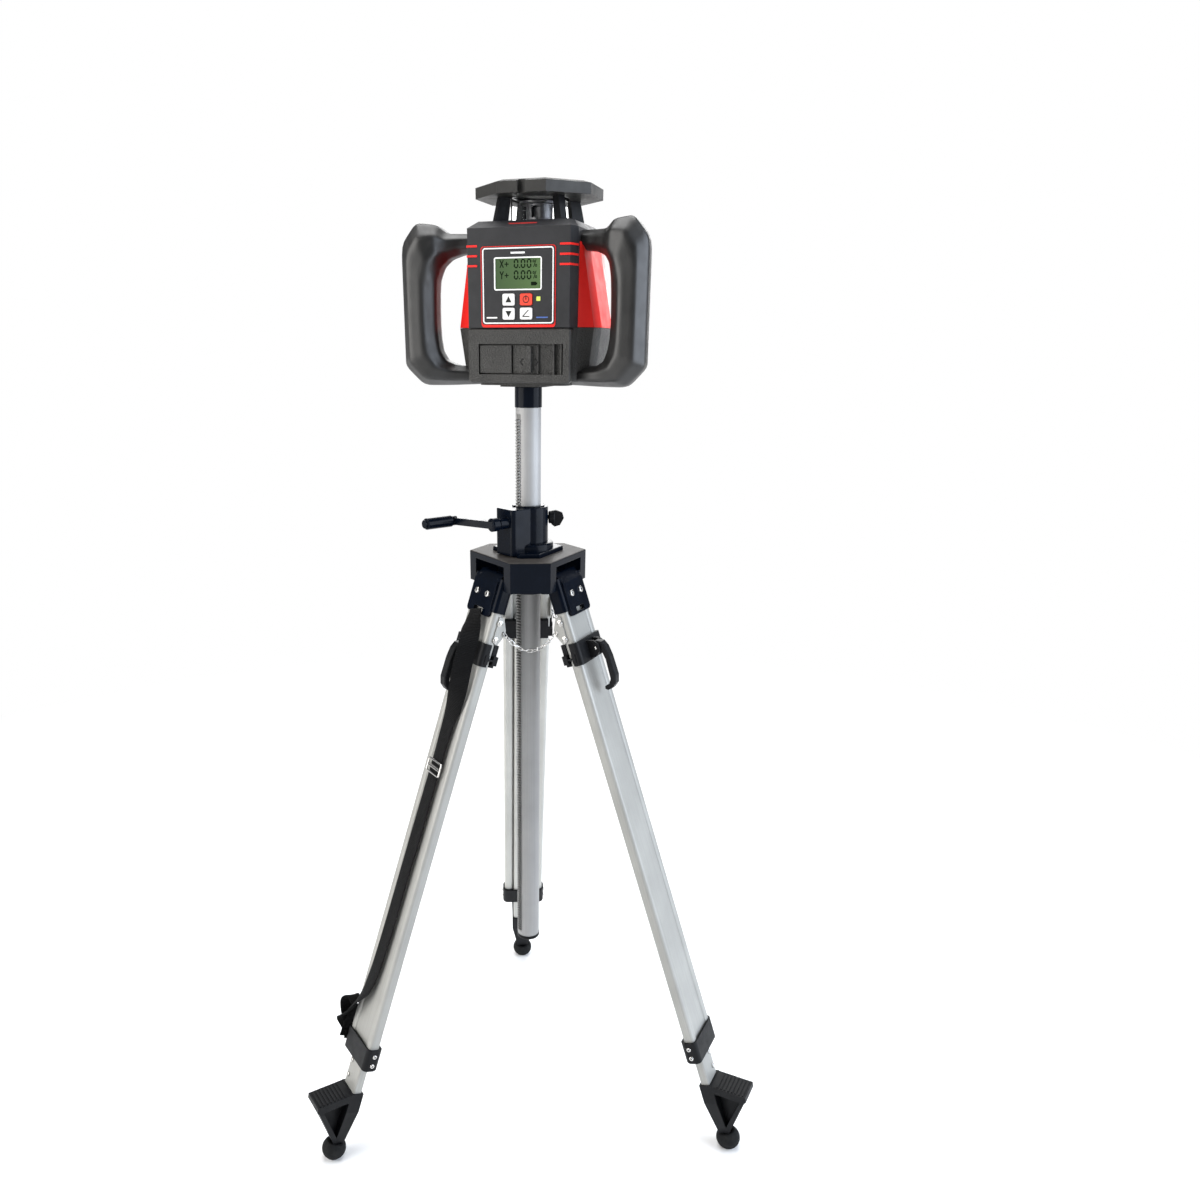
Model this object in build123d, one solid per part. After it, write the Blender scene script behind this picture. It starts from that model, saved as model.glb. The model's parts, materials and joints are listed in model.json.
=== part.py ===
from build123d import *
from math import cos, pi, radians, sin
import os

# Laser level on an elevating tripod. Millimetres, +Z up, origin on the ground under the
# column's axis. The back leg points along +Y, the front legs 120 degrees to each side of it.

# ---- driving dimensions: tripod ------------------------------------------------------------
LEG_AZIMUTHS = {"left": 210, "right": 330, "back": 90}
HINGE_RADIUS = 52.4
HINGE_HEIGHT = 807.0
LEG_TILT = 19.2                  # between a leg and the vertical, at the open stop
LEG_REACH = 838.6                # from the hinge to the centre of the rubber foot

LEG_WIDTH = 66.0
LEG_DEPTH = 16.0
RAIL_WIDTH = 14.0
RAIL_RADIUS = 5.0
RAIL_WALL = 1.6
WEB_FRONT = 6.0                  # outward face of the web between the rails
WEB_THICKNESS = 2.0
RAIL_TOP = 6.0                   # distances along the leg, measured from the hinge
RAIL_END = 692.0
SOCKET_END = 37.0
PLATE_END = 45.0
CLAMP_TOP = 78.0
CLAMP_END = 108.0
LEVER_PIN = (22.0, -94.0)        # outward and down the leg
LEVER_PIN_R = 2.0
COLLAR_TOP = 662.0
COLLAR_END = 695.0
FOOT_TOP = 741.0

INNER_WIDTH = 34.0               # sliding lower leg
INNER_FRONT = 3.5
INNER_BACK = -9.5
INNER_END = 765.0

HINGE_PIN_R = 4.0
RUNNING = 0.06                   # radial clearance of a running fit
PLATE_OUT = 12.4                 # outward face of the bracket's cover plate

FOOT_BALL_R = 17.0

PLATE_TOP = 840.0                # triangular shoulder plate
PLATE_THICKNESS = 8.0
PLATE_INRADIUS = 59.0
PLATE_CORNER_R = 74.0
LUG_BOTTOM = 801.0

TUBE_R = 16.0
TUBE_WALL = 2.0
TUBE_BOTTOM = 262.0
TUBE_TOP = 1022.0
HEAD_TOP = 1046.6
STUD_R = 7.9

RACK_AZIMUTH = 217
RACK_WIDTH = 7.0
RACK_SLOT = 4.2                  # half width of the slots the rack passes through
RACK_ROOT = 15.9
RACK_TIP = 18.5
RACK_SEAT = 14.6
RACK_BOTTOM = 268.0
RACK_END = 1014.0
GEAR_MODULE = 1.25
PINION_TEETH = 12
PINION_PITCH_R = GEAR_MODULE * PINION_TEETH / 2
RACK_PITCH = pi * GEAR_MODULE
PINION_X = RACK_TIP - GEAR_MODULE + PINION_PITCH_R
GEAR_HEIGHT = 883.0
PINION_SHAFT_R = 3.0
BEVEL_REACH = 6.2                # outer radius of the mitre gears
CRANK_OFFSET = 9.0               # the crank's axis passes this far beside the rack
CRANK_ARM = 58.0
CRANK_SHAFT_R = 4.0
CRANK_END = 68.0
GRIP_START = 86.0
GRIP_AXLE_R = 3.0
GRIP_END = 127.0
LOCK_HEIGHT = 885.0
LOCK_SCREW_R = 3.0

HOUSING_BOTTOM = 840.0
HOUSING_TOP = 900.0
GUIDE_SEAT = 895.0

# ---- driving dimensions: laser, in its own frame with the front towards -Y -----------------
LASER_YAW = -20
LASER_SHIFT = 4.5                # the body sits this far beside its mounting thread
BASE_BOTTOM = 1047.0
LOWER_BOTTOM = 1054.0
UPPER_BOTTOM = 1114.0
UPPER_TOP = 1221.0
ROOF_TOP = 1229.5
FRONT = -52.0
RECESS_BACK = -50.4              # seat of the control panel and its surround
OUT = -60.0                      # in front of everything on the front face
ROTOR_Y = 30.0
SPINDLE_R = 3.0
CAP_BOTTOM = 1257.5
CAP_TOP = 1269.5
CAP_R = 76.5
PANEL_Z = 1159.0
PANEL_WIDTH = 88.5
PANEL_HEIGHT = 83.0
LCD_Z = 1172.0
LCD_WIDTH = 57.0
LCD_HEIGHT = 34.0
BUTTON_WIDTH = 14.6
BUTTON_HEIGHT = 12.8
BUTTONS = {
    "up": (-11.0, 1144.4),
    "power": (10.3, 1144.4),
    "down": (-11.0, 1129.2),
    "slope": (10.3, 1129.2),
}

os.makedirs("parts", exist_ok=True)


# ---- small helpers -------------------------------------------------------------------------
def save(node, *shapes):
    """Write one named sub-part; separate solids stay separate inside it."""
    solids = [solid for shape in shapes for solid in shape.solids()]
    body = solids[0] if len(solids) == 1 else Compound(solids)
    export_step(body, f"parts/{node}.step")


def face_of(points, plane=Plane.XY):
    return plane * make_face(Polyline(*points, close=True))


def prism(points, plane, start, end):
    """Extrude a closed outline along its plane's normal, from start to end."""
    return extrude(face_of(points, plane.offset(start)), amount=end - start, dir=plane.z_dir)


def slab(x, y, z):
    """Box between two limits on each axis."""
    size = (x[1] - x[0], y[1] - y[0], z[1] - z[0])
    return Pos((x[0] + x[1]) / 2, (y[0] + y[1]) / 2, (z[0] + z[1]) / 2) * Box(*size)


def tower(radius, low, high, x=0.0, y=0.0):
    """Upright cylinder between two heights."""
    return Pos(x, y, (low + high) / 2) * Cylinder(radius, high - low)


def rod_x(radius, start, end, y=0.0, z=0.0):
    return Pos((start + end) / 2, y, z) * Rot(0, 90, 0) * Cylinder(radius, end - start)


def rod_y(radius, start, end, x=0.0, z=0.0):
    return Pos(x, (start + end) / 2, z) * Rot(90, 0, 0) * Cylinder(radius, end - start)


def rounded_block(width, depth, radius, low, high, x=0.0, y=0.0):
    return Pos(x, y, low) * extrude(RectangleRounded(width, depth, radius), amount=high - low)


def taper(low, low_z, high, high_z):
    """Straight-sided solid between two outlines with as many points."""
    return loft([Pos(0, 0, low_z) * face_of(low), Pos(0, 0, high_z) * face_of(high)], ruled=True)


def mirrored(points):
    """Close an outline by repeating its right half on the left."""
    return points + [(-x, y) for x, y in reversed(points)]


def screw_y(x, z, seat, head_r=4.0, head=1.8, shank_r=2.2, depth=8.0):
    """Round-headed screw along Y with its head on an outward face."""
    return rod_y(head_r, seat, seat + head, x, z) + rod_y(shank_r, seat - depth, seat, x, z)


def screw_x(y, z, seat, side, head_r=3.0, head=1.4, shank_r=1.6, depth=2.5):
    """The same along X, on the side face that side (+1 or -1) names."""
    ends = sorted((side * seat, side * (seat + head)))
    shank = sorted((side * (seat - depth), side * seat))
    return rod_x(head_r, *ends, y, z) + rod_x(shank_r, *shank, y, z)


def leg_place(azimuth):
    """Leg frame: +Y outward, +Z up along the leg, origin on the hinge's axis."""
    return Rot(0, 0, azimuth - 90) * Pos(0, HINGE_RADIUS, HINGE_HEIGHT) * Rot(LEG_TILT, 0, 0)


def truncated_triangle(inradius, corner_r):
    """Triangle whose edges face the legs, with its corners cut square."""
    half_cut = (2 * inradius - corner_r) * sin(radians(30)) / cos(radians(30))
    points = []
    for corner in (30, 150, 270):
        out = Vector(cos(radians(corner)), sin(radians(corner)), 0)
        along = Vector(-out.Y, out.X, 0)
        for side in (-1, 1):
            point = out * corner_r + along * side * half_cut
            points.append((point.X, point.Y))
    return points


# ---- tripod legs ---------------------------------------------------------------------------
def rail_profile():
    """Cross-section of the two hollow rails and the web between them."""
    centre = (LEG_WIDTH - RAIL_WIDTH) / 2
    bore_width = RAIL_WIDTH - 2 * RAIL_WALL
    bore_depth = LEG_DEPTH - 2 * RAIL_WALL
    rail = RectangleRounded(RAIL_WIDTH, LEG_DEPTH, RAIL_RADIUS)
    bore = RectangleRounded(bore_width, bore_depth, RAIL_RADIUS - RAIL_WALL)
    web_width = LEG_WIDTH - 2 * RAIL_WIDTH + RAIL_WALL
    profile = Pos(0, WEB_FRONT - WEB_THICKNESS / 2) * Rectangle(web_width, WEB_THICKNESS)
    for x in (-centre, centre):
        profile += Pos(x, 0) * rail
    for x in (-centre, centre):
        profile -= Pos(x, 0) * bore
    return profile


def upper_leg():
    """Two rounded rails joined by a recessed web, with a chain plate on each edge."""
    length = RAIL_END - RAIL_TOP
    leg = Pos(0, 0, -RAIL_END) * extrude(rail_profile(), amount=length)
    outline = [
        (-7.5, -41), (-1.5, -41), (-1.5, -72), (-6, -77), (-9, -77), (-16, -63), (-16, -56), (-9, -42),
    ]
    pieces = [leg]
    half = LEG_WIDTH / 2
    for side in (-1, 1):
        span = sorted((side * half, side * (half + 1.6)))
        plate = prism(outline, Plane.YZ, *span)
        plate -= rod_x(1.6, *span, -13, -59.5)
        for along in (49, 71):
            plate += screw_x(-4.8, -along, half + 1.6, side, head=1.6, shank_r=1.5, depth=0.8)
        pieces.append(plate)
    return pieces


def leg_bracket():
    """Top casting: hinge block, a socket for each rail and a cover plate with a strap slot."""
    half = LEG_WIDTH / 2
    web_back = WEB_FRONT - WEB_THICKNESS
    block_half = half - RAIL_WIDTH - 0.5
    profile = [(-9, -32), (-9, 4), (-4, 11), (3, 13.5), (5, 12), (PLATE_OUT, -1), (PLATE_OUT, -32)]
    block = prism(profile, Plane.YZ, -block_half, block_half)
    cover = [
        (2, 11), (3, 13.5), (5, 12), (PLATE_OUT, -1), (PLATE_OUT, -PLATE_END), (8.5, -PLATE_END), (8.5, -1),
    ]
    plate = prism(cover, Plane.YZ, -28, 28)
    corners = plate.edges().filter_by(Axis.Y).group_by(Axis.Z)[0]
    body = block + fillet(corners, 5)
    for side in (-1, 1):
        centre = side * (half - RAIL_WIDTH / 2 + 0.7)
        body += rounded_block(RAIL_WIDTH + 3.4, LEG_DEPTH + 4, 6, -SOCKET_END, 6, centre)
    for side in (-1, 1):
        centre = side * (half - RAIL_WIDTH / 2)
        body -= rounded_block(RAIL_WIDTH, LEG_DEPTH, RAIL_RADIUS, -SOCKET_END - 20, -RAIL_TOP, centre)
    web_half = half - RAIL_WIDTH + 0.8
    body -= slab((-web_half, web_half), (web_back, WEB_FRONT), (-SOCKET_END - 20, -RAIL_TOP))
    body -= slab((-17.6, 17.6), (-20, web_back), (-PLATE_END, -18))
    body -= slab((-11, 11), (8, 14), (-42, -36))
    body -= rod_x(HINGE_PIN_R + RUNNING, -half - 5, half + 5)
    screws = []
    for side in (-1, 1):
        screw = screw_y(side * 13, -17, PLATE_OUT, depth=6.0)
        body -= screw
        screws.append(screw)
    return [body] + screws


def leg_collar():
    """Band at the foot of the rails that guides the lower leg."""
    middle = -1.0
    band = rounded_block(LEG_WIDTH + 6, 23, 8, -COLLAR_END, -COLLAR_TOP, 0, middle)
    band = fillet(band.edges().group_by(Axis.Z)[0], 2.5)
    band -= rounded_block(LEG_WIDTH, LEG_DEPTH, RAIL_RADIUS, -RAIL_END, -COLLAR_TOP)
    inner = INNER_WIDTH / 2 + 0.5
    band -= slab((-inner, inner), (INNER_BACK - 0.4, INNER_FRONT + 0.4), (-COLLAR_END, -COLLAR_TOP))
    pieces = []
    for side in (-1, 1):
        for along in (671, 685):
            screw = screw_x(middle, -along, LEG_WIDTH / 2 + 3, side, depth=2.4)
            band -= screw
            pieces.append(screw)
    return [band] + pieces


def lower_leg(side):
    """Flat tube that slides between the rails, with two screws on its outward face."""
    depth = INNER_FRONT - INNER_BACK
    middle = (INNER_FRONT + INNER_BACK) / 2
    tube = RectangleRounded(INNER_WIDTH, depth, 3) - RectangleRounded(INNER_WIDTH - 3, depth - 3, 1.5)
    leg = Pos(0, middle, -INNER_END) * extrude(tube, amount=INNER_END - CLAMP_TOP)
    pieces = []
    for along in (704, 727):
        screw = screw_y(side * 10, -along, INNER_FRONT, head_r=3.2, head=1.6, shank_r=1.6, depth=1.5)
        leg -= screw
        pieces.append(screw)
    return [leg] + pieces


def leg_clamp():
    """Jaws that grip the rails: the outer one carries the lever, the inner one the lower leg."""
    half = LEG_WIDTH / 2
    gap = 0.4
    inside = half + gap
    reach = inside + 3.1
    band = (-CLAMP_END, -CLAMP_TOP)
    outer = rounded_block(2 * reach, 24, 6, *band, 0, LEG_DEPTH / 2 + gap - 8.8)
    outer -= rounded_block(2 * inside, LEG_DEPTH + 2 * gap, RAIL_RADIUS + gap, *band)
    outer -= slab((-reach, reach), (-30, -1), band)
    for side in (-1, 1):
        ear = sorted((side * 7.2, side * 10.6))
        outline = [(10, -81), (22, -84), (27, -90), (27, -98), (22, -104), (10, -106)]
        outer += prism(outline, Plane.YZ, *ear)
    pin = rod_x(LEVER_PIN_R, -10.6, 10.6, *LEVER_PIN)
    outer -= pin
    jaw = (-15, -(LEG_DEPTH / 2 + gap))
    tab = (-104, -92)
    inner = slab((-31, 31), jaw, band)
    inner -= slab((-INNER_WIDTH / 2, INNER_WIDTH / 2), (INNER_BACK, 0), band)
    pieces = [pin]
    for side in (-1, 1):
        inner += slab(sorted((side * 31, side * 37)), jaw, tab)
        outer += slab(sorted((side * inside, side * 37.6)), (-1, 4), tab)
        bolt = rod_y(1.5, -15, 4, side * (inside + 1.9), -98)
        inner -= bolt
        outer -= bolt
        pieces.append(bolt)
    return [outer, inner] + pieces


def cam_lever():
    """Curved lever with a hooked end, on the clamp's pin."""
    outline = [
        (22, -85), (30, -88), (34, -96), (36, -110), (36.5, -136), (33.5, -146), (27, -151.5),
        (20, -153), (16.5, -150.5), (17.5, -147), (23.5, -145.5), (28, -139), (29, -112),
        (27, -102), (22, -103), (15, -99), (13.2, -94), (15, -88),
    ]
    lever = prism(outline, Plane.YZ, -6.6, 6.6)
    faces = lever.faces().sort_by(Axis.X)
    lever = chamfer(faces[0].edges() + faces[-1].edges(), 1.2)
    return lever - rod_x(LEVER_PIN_R + RUNNING, -8, 8, *LEVER_PIN)


def foot_casting():
    """Pointed foot: a socket for the lower leg, a ribbed step and two struts with a web."""
    step = Vector(0, cos(radians(LEG_TILT)), -sin(radians(LEG_TILT)))
    start = Vector(0, 6, -FOOT_TOP - 1)
    tip = start + step * 50
    side_view = [
        (-11.5, -FOOT_TOP), (6, -FOOT_TOP), (start.Y, start.Z), (tip.Y, tip.Z), (tip.Y - 1, tip.Z - 7),
        (tip.Y - 4, tip.Z - 9), (8, -826), (-7.5, -826), (-11.5, -770),
    ]
    front_view = mirrored([(19, -770), (19, -FOOT_TOP + 1)]) + [(-9, -827), (9, -827)]
    casting = prism(side_view, Plane.YZ, -19, 19) & prism(front_view, Plane.XZ, -80, 80)
    pocket = [(8, -754), (43, -766), (6.5, -816)]
    for side in (-1, 1):
        casting -= prism(pocket, Plane.YZ, *sorted((side * 1.6, side * 19)))
    depth = INNER_FRONT - INNER_BACK
    middle = (INNER_FRONT + INNER_BACK) / 2
    casting -= rounded_block(INNER_WIDTH, depth, 3, -INNER_END, -FOOT_TOP + 2, 0, middle)
    for count in range(8):
        ridge = start + step * (9 + 5.2 * count)
        casting += Pos(ridge) * Rot(-LEG_TILT, 0, 0) * Box(34, 2.2, 2.4)
    return casting + tower(6, -LEG_REACH - 2, -820)


def foot_ball(azimuth):
    """Rubber ball with a socket on top and a worn flat where it meets the ground."""
    centre = -LEG_REACH
    ball = Pos(0, 0, centre) * Sphere(FOOT_BALL_R)
    ball -= tower(30, centre + 11, centre + 30)
    ball -= tower(9.5, centre + 5, centre + 12)
    ball -= tower(6, centre - 2, centre + 6)
    ball = leg_place(azimuth) * ball
    return ball - slab((-500, 500), (-500, 500), (-40, 0))


def carry_strap():
    """Webbing strap from the bracket's slot to the collar, its folded end and its slide buckle."""
    # centre across and out from the leg, distance along it, and lean about the leg's axis
    stations = [
        (0, 15.5, 40, 0), (-6, 18.5, 58, 15), (-21, 25.5, 82, 60), (-22, 25.5, 112, 60),
        (-21, 21, 150, 45), (-7, 12.5, 190, 8), (-3, 11, 240, 0), (-1, 11, 400, 0), (1, 11, 520, 0),
        (10, 12, 560, 0), (26, 15, 595, -20), (36, 15, 612, -35),
    ]
    sections = []
    for across, out, along, lean in stations:
        sections.append(Pos(across, out, -along) * Rot(0, 0, lean) * Rectangle(30, 2))
    strap = loft(sections, ruled=True)
    strap += slab((38, 50), (-4, 18), (-656, -604))
    buckle = rounded_block(40, 2, 0.9, -266, -250, -3, 13.2)
    buckle -= slab((-20, 14), (12, 15), (-264, -252))
    return [strap, buckle]


def save_legs():
    for name, azimuth in LEG_AZIMUTHS.items():
        place = leg_place(azimuth)
        screw_side = -1 if name == "right" else 1
        save(f"upper_leg_{name}", *[place * piece for piece in upper_leg()])
        save(f"leg_bracket_{name}", *[place * piece for piece in leg_bracket()])
        save(f"leg_collar_{name}", *[place * piece for piece in leg_collar()])
        save(f"lower_leg_{name}", *[place * piece for piece in lower_leg(screw_side)])
        save(f"leg_clamp_{name}", *[place * piece for piece in leg_clamp()])
        save(f"cam_lever_{name}", place * cam_lever())
        save(f"foot_casting_{name}", place * foot_casting())
        save(f"foot_ball_{name}", foot_ball(azimuth))
    save("carry_strap", *[leg_place(LEG_AZIMUTHS["left"]) * piece for piece in carry_strap()])


# ---- shoulder, column and crank ------------------------------------------------------------
def rack_slot(low, high):
    """Room for the rack to pass through a sleeve between two heights."""
    slot = slab((0, RACK_TIP + 0.8), (-RACK_SLOT, RACK_SLOT), (low, high))
    return Rot(0, 0, RACK_AZIMUTH) * slot


def hub_casting():
    """Shoulder plate, three corner lugs for the hinge pins and the column's boss."""
    plate = prism(truncated_triangle(PLATE_INRADIUS, PLATE_CORNER_R), Plane.XY,
                  PLATE_TOP - PLATE_THICKNESS, PLATE_TOP)
    hub = fillet(plate.edges().group_by(Axis.Z)[-1], 1.5)
    lug = [(44, 4.2), (60.7, 33.1), (74, 25.4), (74, -25.4), (60.7, -33.1), (44, -4.2)]
    for corner in (30, 150, 270):
        hub += Rot(0, 0, corner) * prism(lug, Plane.XY, LUG_BOTTOM, PLATE_TOP - PLATE_THICKNESS)
        hub += Rot(0, 0, corner) * slab((20, 50), (-4.2, 4.2), (803, PLATE_TOP - PLATE_THICKNESS))
    hub += tower(24, 800, PLATE_TOP)
    hub -= tower(18, 700, PLATE_TOP)
    hub -= rack_slot(700, PLATE_TOP)
    for azimuth in LEG_AZIMUTHS.values():
        hub -= leg_place(azimuth) * rod_x(HINGE_PIN_R, -50, 50)
    return hub


def column_bushes():
    """Split guide bush hanging under the hub, and the guide ring in the housing's mouth."""
    rings = [tower(18, 787, 829) + tower(20, 787, 797), tower(21, GUIDE_SEAT, HOUSING_TOP + 1.5)]
    slot = Rot(0, 0, RACK_AZIMUTH) * slab((0, 30), (-RACK_SLOT, RACK_SLOT), (700, 910))
    return [ring - tower(TUBE_R + RUNNING, 700, 910) - slot for ring in rings]


def crank_housing():
    """Glossy housing: column sleeve, side chamber for the gears and stepped base flanges."""
    body = tower(25.5, HOUSING_BOTTOM, HOUSING_TOP)
    gear_place = Rot(0, 0, RACK_AZIMUTH)
    body += gear_place * rounded_block(33, 37, 6, 842, HOUSING_TOP, 26.5, 3.5)
    body = fillet(body.edges().group_by(Axis.Z)[-1], 1.5)
    flange = prism(truncated_triangle(34, 46), Plane.XY, HOUSING_BOTTOM, HOUSING_BOTTOM + 5.5)
    body += fillet(flange.edges().group_by(Axis.Z)[-1], 2)
    ring = tower(32.6, HOUSING_BOTTOM + 5.5, HOUSING_BOTTOM + 14.5)
    body += fillet(ring.edges().group_by(Axis.Z)[-1], 3)
    body += gear_place * rod_x(7, 42, 56, CRANK_OFFSET, GEAR_HEIGHT)
    body -= gear_place * slab((17, 36), (-6, 17.5), (GEAR_HEIGHT - 12, GEAR_HEIGHT + 8.9))
    body -= gear_place * rod_x(CRANK_SHAFT_R + RUNNING, 30, 60, CRANK_OFFSET, GEAR_HEIGHT)
    body -= gear_place * rod_y(PINION_SHAFT_R + RUNNING, -13.5, 0, PINION_X, GEAR_HEIGHT)
    body -= tower(TUBE_R + 0.5, HOUSING_BOTTOM - 1, HOUSING_TOP + 9)
    body -= rack_slot(HOUSING_BOTTOM - 1, HOUSING_TOP + 9)
    body -= tower(21, GUIDE_SEAT, HOUSING_TOP + 9)
    return body - rod_x(LOCK_SCREW_R + RUNNING, 0, 40, 0, LOCK_HEIGHT)


def column_tube():
    tube = tower(TUBE_R, TUBE_BOTTOM, TUBE_TOP) - tower(TUBE_R - TUBE_WALL, TUBE_BOTTOM, TUBE_TOP)
    groove = slab((RACK_SEAT, 20), (-RACK_WIDTH / 2, RACK_WIDTH / 2), (RACK_BOTTOM, RACK_END))
    return tube - Rot(0, 0, RACK_AZIMUTH) * groove


def column_rack():
    """Toothed strip let into the tube, in mesh with the pinion at rest."""
    points = [(RACK_SEAT, RACK_BOTTOM), (RACK_ROOT, RACK_BOTTOM)]
    first = int((RACK_BOTTOM + 2 - GEAR_HEIGHT) // RACK_PITCH) + 1
    last = int((RACK_END - 2 - GEAR_HEIGHT) // RACK_PITCH)
    for count in range(first, last):
        middle = GEAR_HEIGHT + (count + 0.5) * RACK_PITCH
        points += [
            (RACK_ROOT, middle - 1.15), (RACK_TIP, middle - 0.35),
            (RACK_TIP, middle + 0.35), (RACK_ROOT, middle + 1.15),
        ]
    points += [(RACK_ROOT, RACK_END), (RACK_SEAT, RACK_END)]
    strip = prism(points, Plane.XZ, -RACK_WIDTH / 2, RACK_WIDTH / 2)
    return Rot(0, 0, RACK_AZIMUTH) * strip


def column_head():
    head = tower(17, TUBE_TOP, HEAD_TOP)
    head = fillet(head.edges().group_by(Axis.Z)[-1], 1.0)
    head += tower(TUBE_R - TUBE_WALL, TUBE_TOP - 15, TUBE_TOP)
    return head - tower(STUD_R, 1030, HEAD_TOP + 1)


def column_end_cap():
    cap = tower(16.5, TUBE_BOTTOM - 6, TUBE_BOTTOM)
    cap = fillet(cap.edges().group_by(Axis.Z)[0], 2.5)
    return cap + tower(TUBE_R - TUBE_WALL, TUBE_BOTTOM, TUBE_BOTTOM + 12)


def mitre_gear():
    """Plain cone along +Z with its apex at the origin."""
    narrow = BEVEL_REACH * 0.3 - 0.4
    cone = Cone(narrow, BEVEL_REACH - 0.4, BEVEL_REACH * 0.7)
    return Pos(0, 0, BEVEL_REACH * 0.65) * cone


def pinion_shaft():
    """Pinion in mesh with the rack, its shaft and the mitre gear that the crank drives."""
    points = []
    for tooth in range(PINION_TEETH):
        middle = 2 * pi * tooth / PINION_TEETH
        for radius, half in ((5.8, 1.1), (8.5, 0.5), (8.5, -0.5), (5.8, -1.1)):
            angle = middle - half / radius
            points.append((radius * cos(angle), radius * sin(angle)))
    place = Pos(PINION_X, 0, GEAR_HEIGHT)
    shaft = place * prism(points, Plane.XZ, -2.4, 2.4)
    shaft += rod_y(PINION_SHAFT_R, -13, 3, PINION_X, GEAR_HEIGHT)
    shaft += Pos(PINION_X, CRANK_OFFSET, GEAR_HEIGHT) * Rot(90, 0, 0) * mitre_gear()
    return Rot(0, 0, RACK_AZIMUTH) * shaft


def crank_arm():
    """Shaft with its mitre gear inside the housing, hub, arm and the grip's axle."""
    crank = rod_x(CRANK_SHAFT_R, PINION_X + 5.5, 60)
    crank += Pos(PINION_X, 0, 0) * Rot(0, 90, 0) * mitre_gear()
    crank += chamfer(rod_x(8.4, 57, CRANK_END).edges().filter_by(GeomType.CIRCLE), 1.2)
    arm = [
        (61, 5), (67.5, 5), (GRIP_START, -CRANK_ARM + 5), (GRIP_START, -CRANK_ARM - 5),
        (GRIP_START - 6, -CRANK_ARM - 5), (GRIP_START - 6, -CRANK_ARM + 4), (61, -2),
    ]
    crank += prism(arm, Plane.XY, -4.5, 4.5)
    crank += rod_x(6, GRIP_START - 5.5, GRIP_START + 0.5, -CRANK_ARM)
    crank += rod_x(GRIP_AXLE_R, GRIP_START - 2, GRIP_END, -CRANK_ARM)
    crank += rod_x(5.2, GRIP_END, GRIP_END + 2, -CRANK_ARM)
    return Rot(0, 0, RACK_AZIMUTH) * Pos(0, CRANK_OFFSET, GEAR_HEIGHT) * crank


def crank_grip():
    """Sleeve that turns on the crank's axle."""
    axis = CRANK_OFFSET - CRANK_ARM
    grip = rod_x(7.2, GRIP_START + 1.5, GRIP_END - 0.4, axis, GEAR_HEIGHT)
    grip = fillet(grip.edges().filter_by(GeomType.CIRCLE), 1.5)
    grip -= rod_x(GRIP_AXLE_R + RUNNING, GRIP_START, GRIP_END, axis, GEAR_HEIGHT)
    return Rot(0, 0, RACK_AZIMUTH) * grip


def lock_knob():
    """Clamp screw with a winged head."""
    screw = rod_x(LOCK_SCREW_R, TUBE_R + 1, 30, 0, LOCK_HEIGHT)
    head = rod_x(8, 26.2, 34, 0, LOCK_HEIGHT)
    head = chamfer(head.edges().filter_by(GeomType.CIRCLE), 1)
    wing = [(30, 876), (34, 873), (41, 875), (46, 884), (44, 891), (36, 894), (30, 893)]
    return screw + head + prism(wing, Plane.XZ, -2.6, 2.6)


def chain_hole(name, side):
    """Centre of the hole in the chain plate on one edge of a leg."""
    return (leg_place(LEG_AZIMUTHS[name]) * Pos(side * 36.5, -13, -59.5)).position


def chain_bars(start, end):
    """Short bars end to end along one chain's sag."""
    sag = Vector(0, 0, -24)
    points = []
    for share in (0.04, 0.2, 0.4, 0.6, 0.8, 0.96):
        points.append(start + (end - start) * share + sag * 4 * share * (1 - share))
    bars = []
    for low, high in zip(points, points[1:]):
        gap = (high - low).normalized() * 0.2
        section = Plane(origin=low + gap, z_dir=high - low) * Rectangle(3, 3)
        bars.append(sweep(section, path=Line(low + gap, high - gap)))
    return bars


def spreader_chains():
    """Three chains, each from one leg's chain plate to the nearest plate of the next leg."""
    bars = []
    for first, second in (("left", "right"), ("right", "back"), ("back", "left")):
        bars += chain_bars(chain_hole(first, -1), chain_hole(second, 1))
    return bars


def save_head():
    save("hub_casting", hub_casting())
    pin = rod_x(HINGE_PIN_R, -50, 50)
    save("leg_hinge_pins", *[leg_place(azimuth) * pin for azimuth in LEG_AZIMUTHS.values()])
    save("column_bushes", *column_bushes())
    save("crank_housing", crank_housing())
    save("column_tube", column_tube())
    save("column_rack", column_rack())
    save("column_head", column_head())
    save("column_end_cap", column_end_cap())
    save("mounting_screw", tower(STUD_R, 1030, 1060))
    save("pinion_shaft", pinion_shaft())
    save("crank_arm", crank_arm())
    save("crank_grip", crank_grip())
    save("lock_knob", lock_knob())
    save("spreader_chains", *spreader_chains())


# ---- laser ---------------------------------------------------------------------------------
CORE = [(62, -52), (67, -36), (67, 82), (54, 94)]
CORE_INNER = [(59, -49), (64, -35), (64, 81), (52.5, 91)]
ROOF = [(54, -35), (58, -24), (58, 72), (48, 82)]
PANEL_LOW = [(67, -34), (84, -24), (88, -2), (88, 50), (82, 71), (67, 84)]
PANEL_HIGH = [(67, -31), (69.5, -25), (71, -2), (71, 48), (70, 68), (67, 80)]
PANEL_LOW_INNER = [(67, -31), (82, -22), (85.5, -2), (85.5, 49), (80, 68.5), (67, 81)]
PANEL_HIGH_INNER = [(67, -29), (70, -22), (72.5, -2), (72.5, 47), (71, 66), (67, 78)]
BASE_LOW = [(60, -38.5), (63, -34), (76, -22), (80, -2), (80, 48), (75, 66), (62, 79), (50, 88)]
BASE_HIGH = [(64.5, -40.5), (67, -35), (84, -24), (88, -2), (88, 50), (82, 71), (67, 84), (54, 94)]
BASE_LOW_INNER = [(57, -35.5), (60, -32), (73, -20), (77, -1), (77, 47), (72, 64), (60, 76), (48, 85)]
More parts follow.
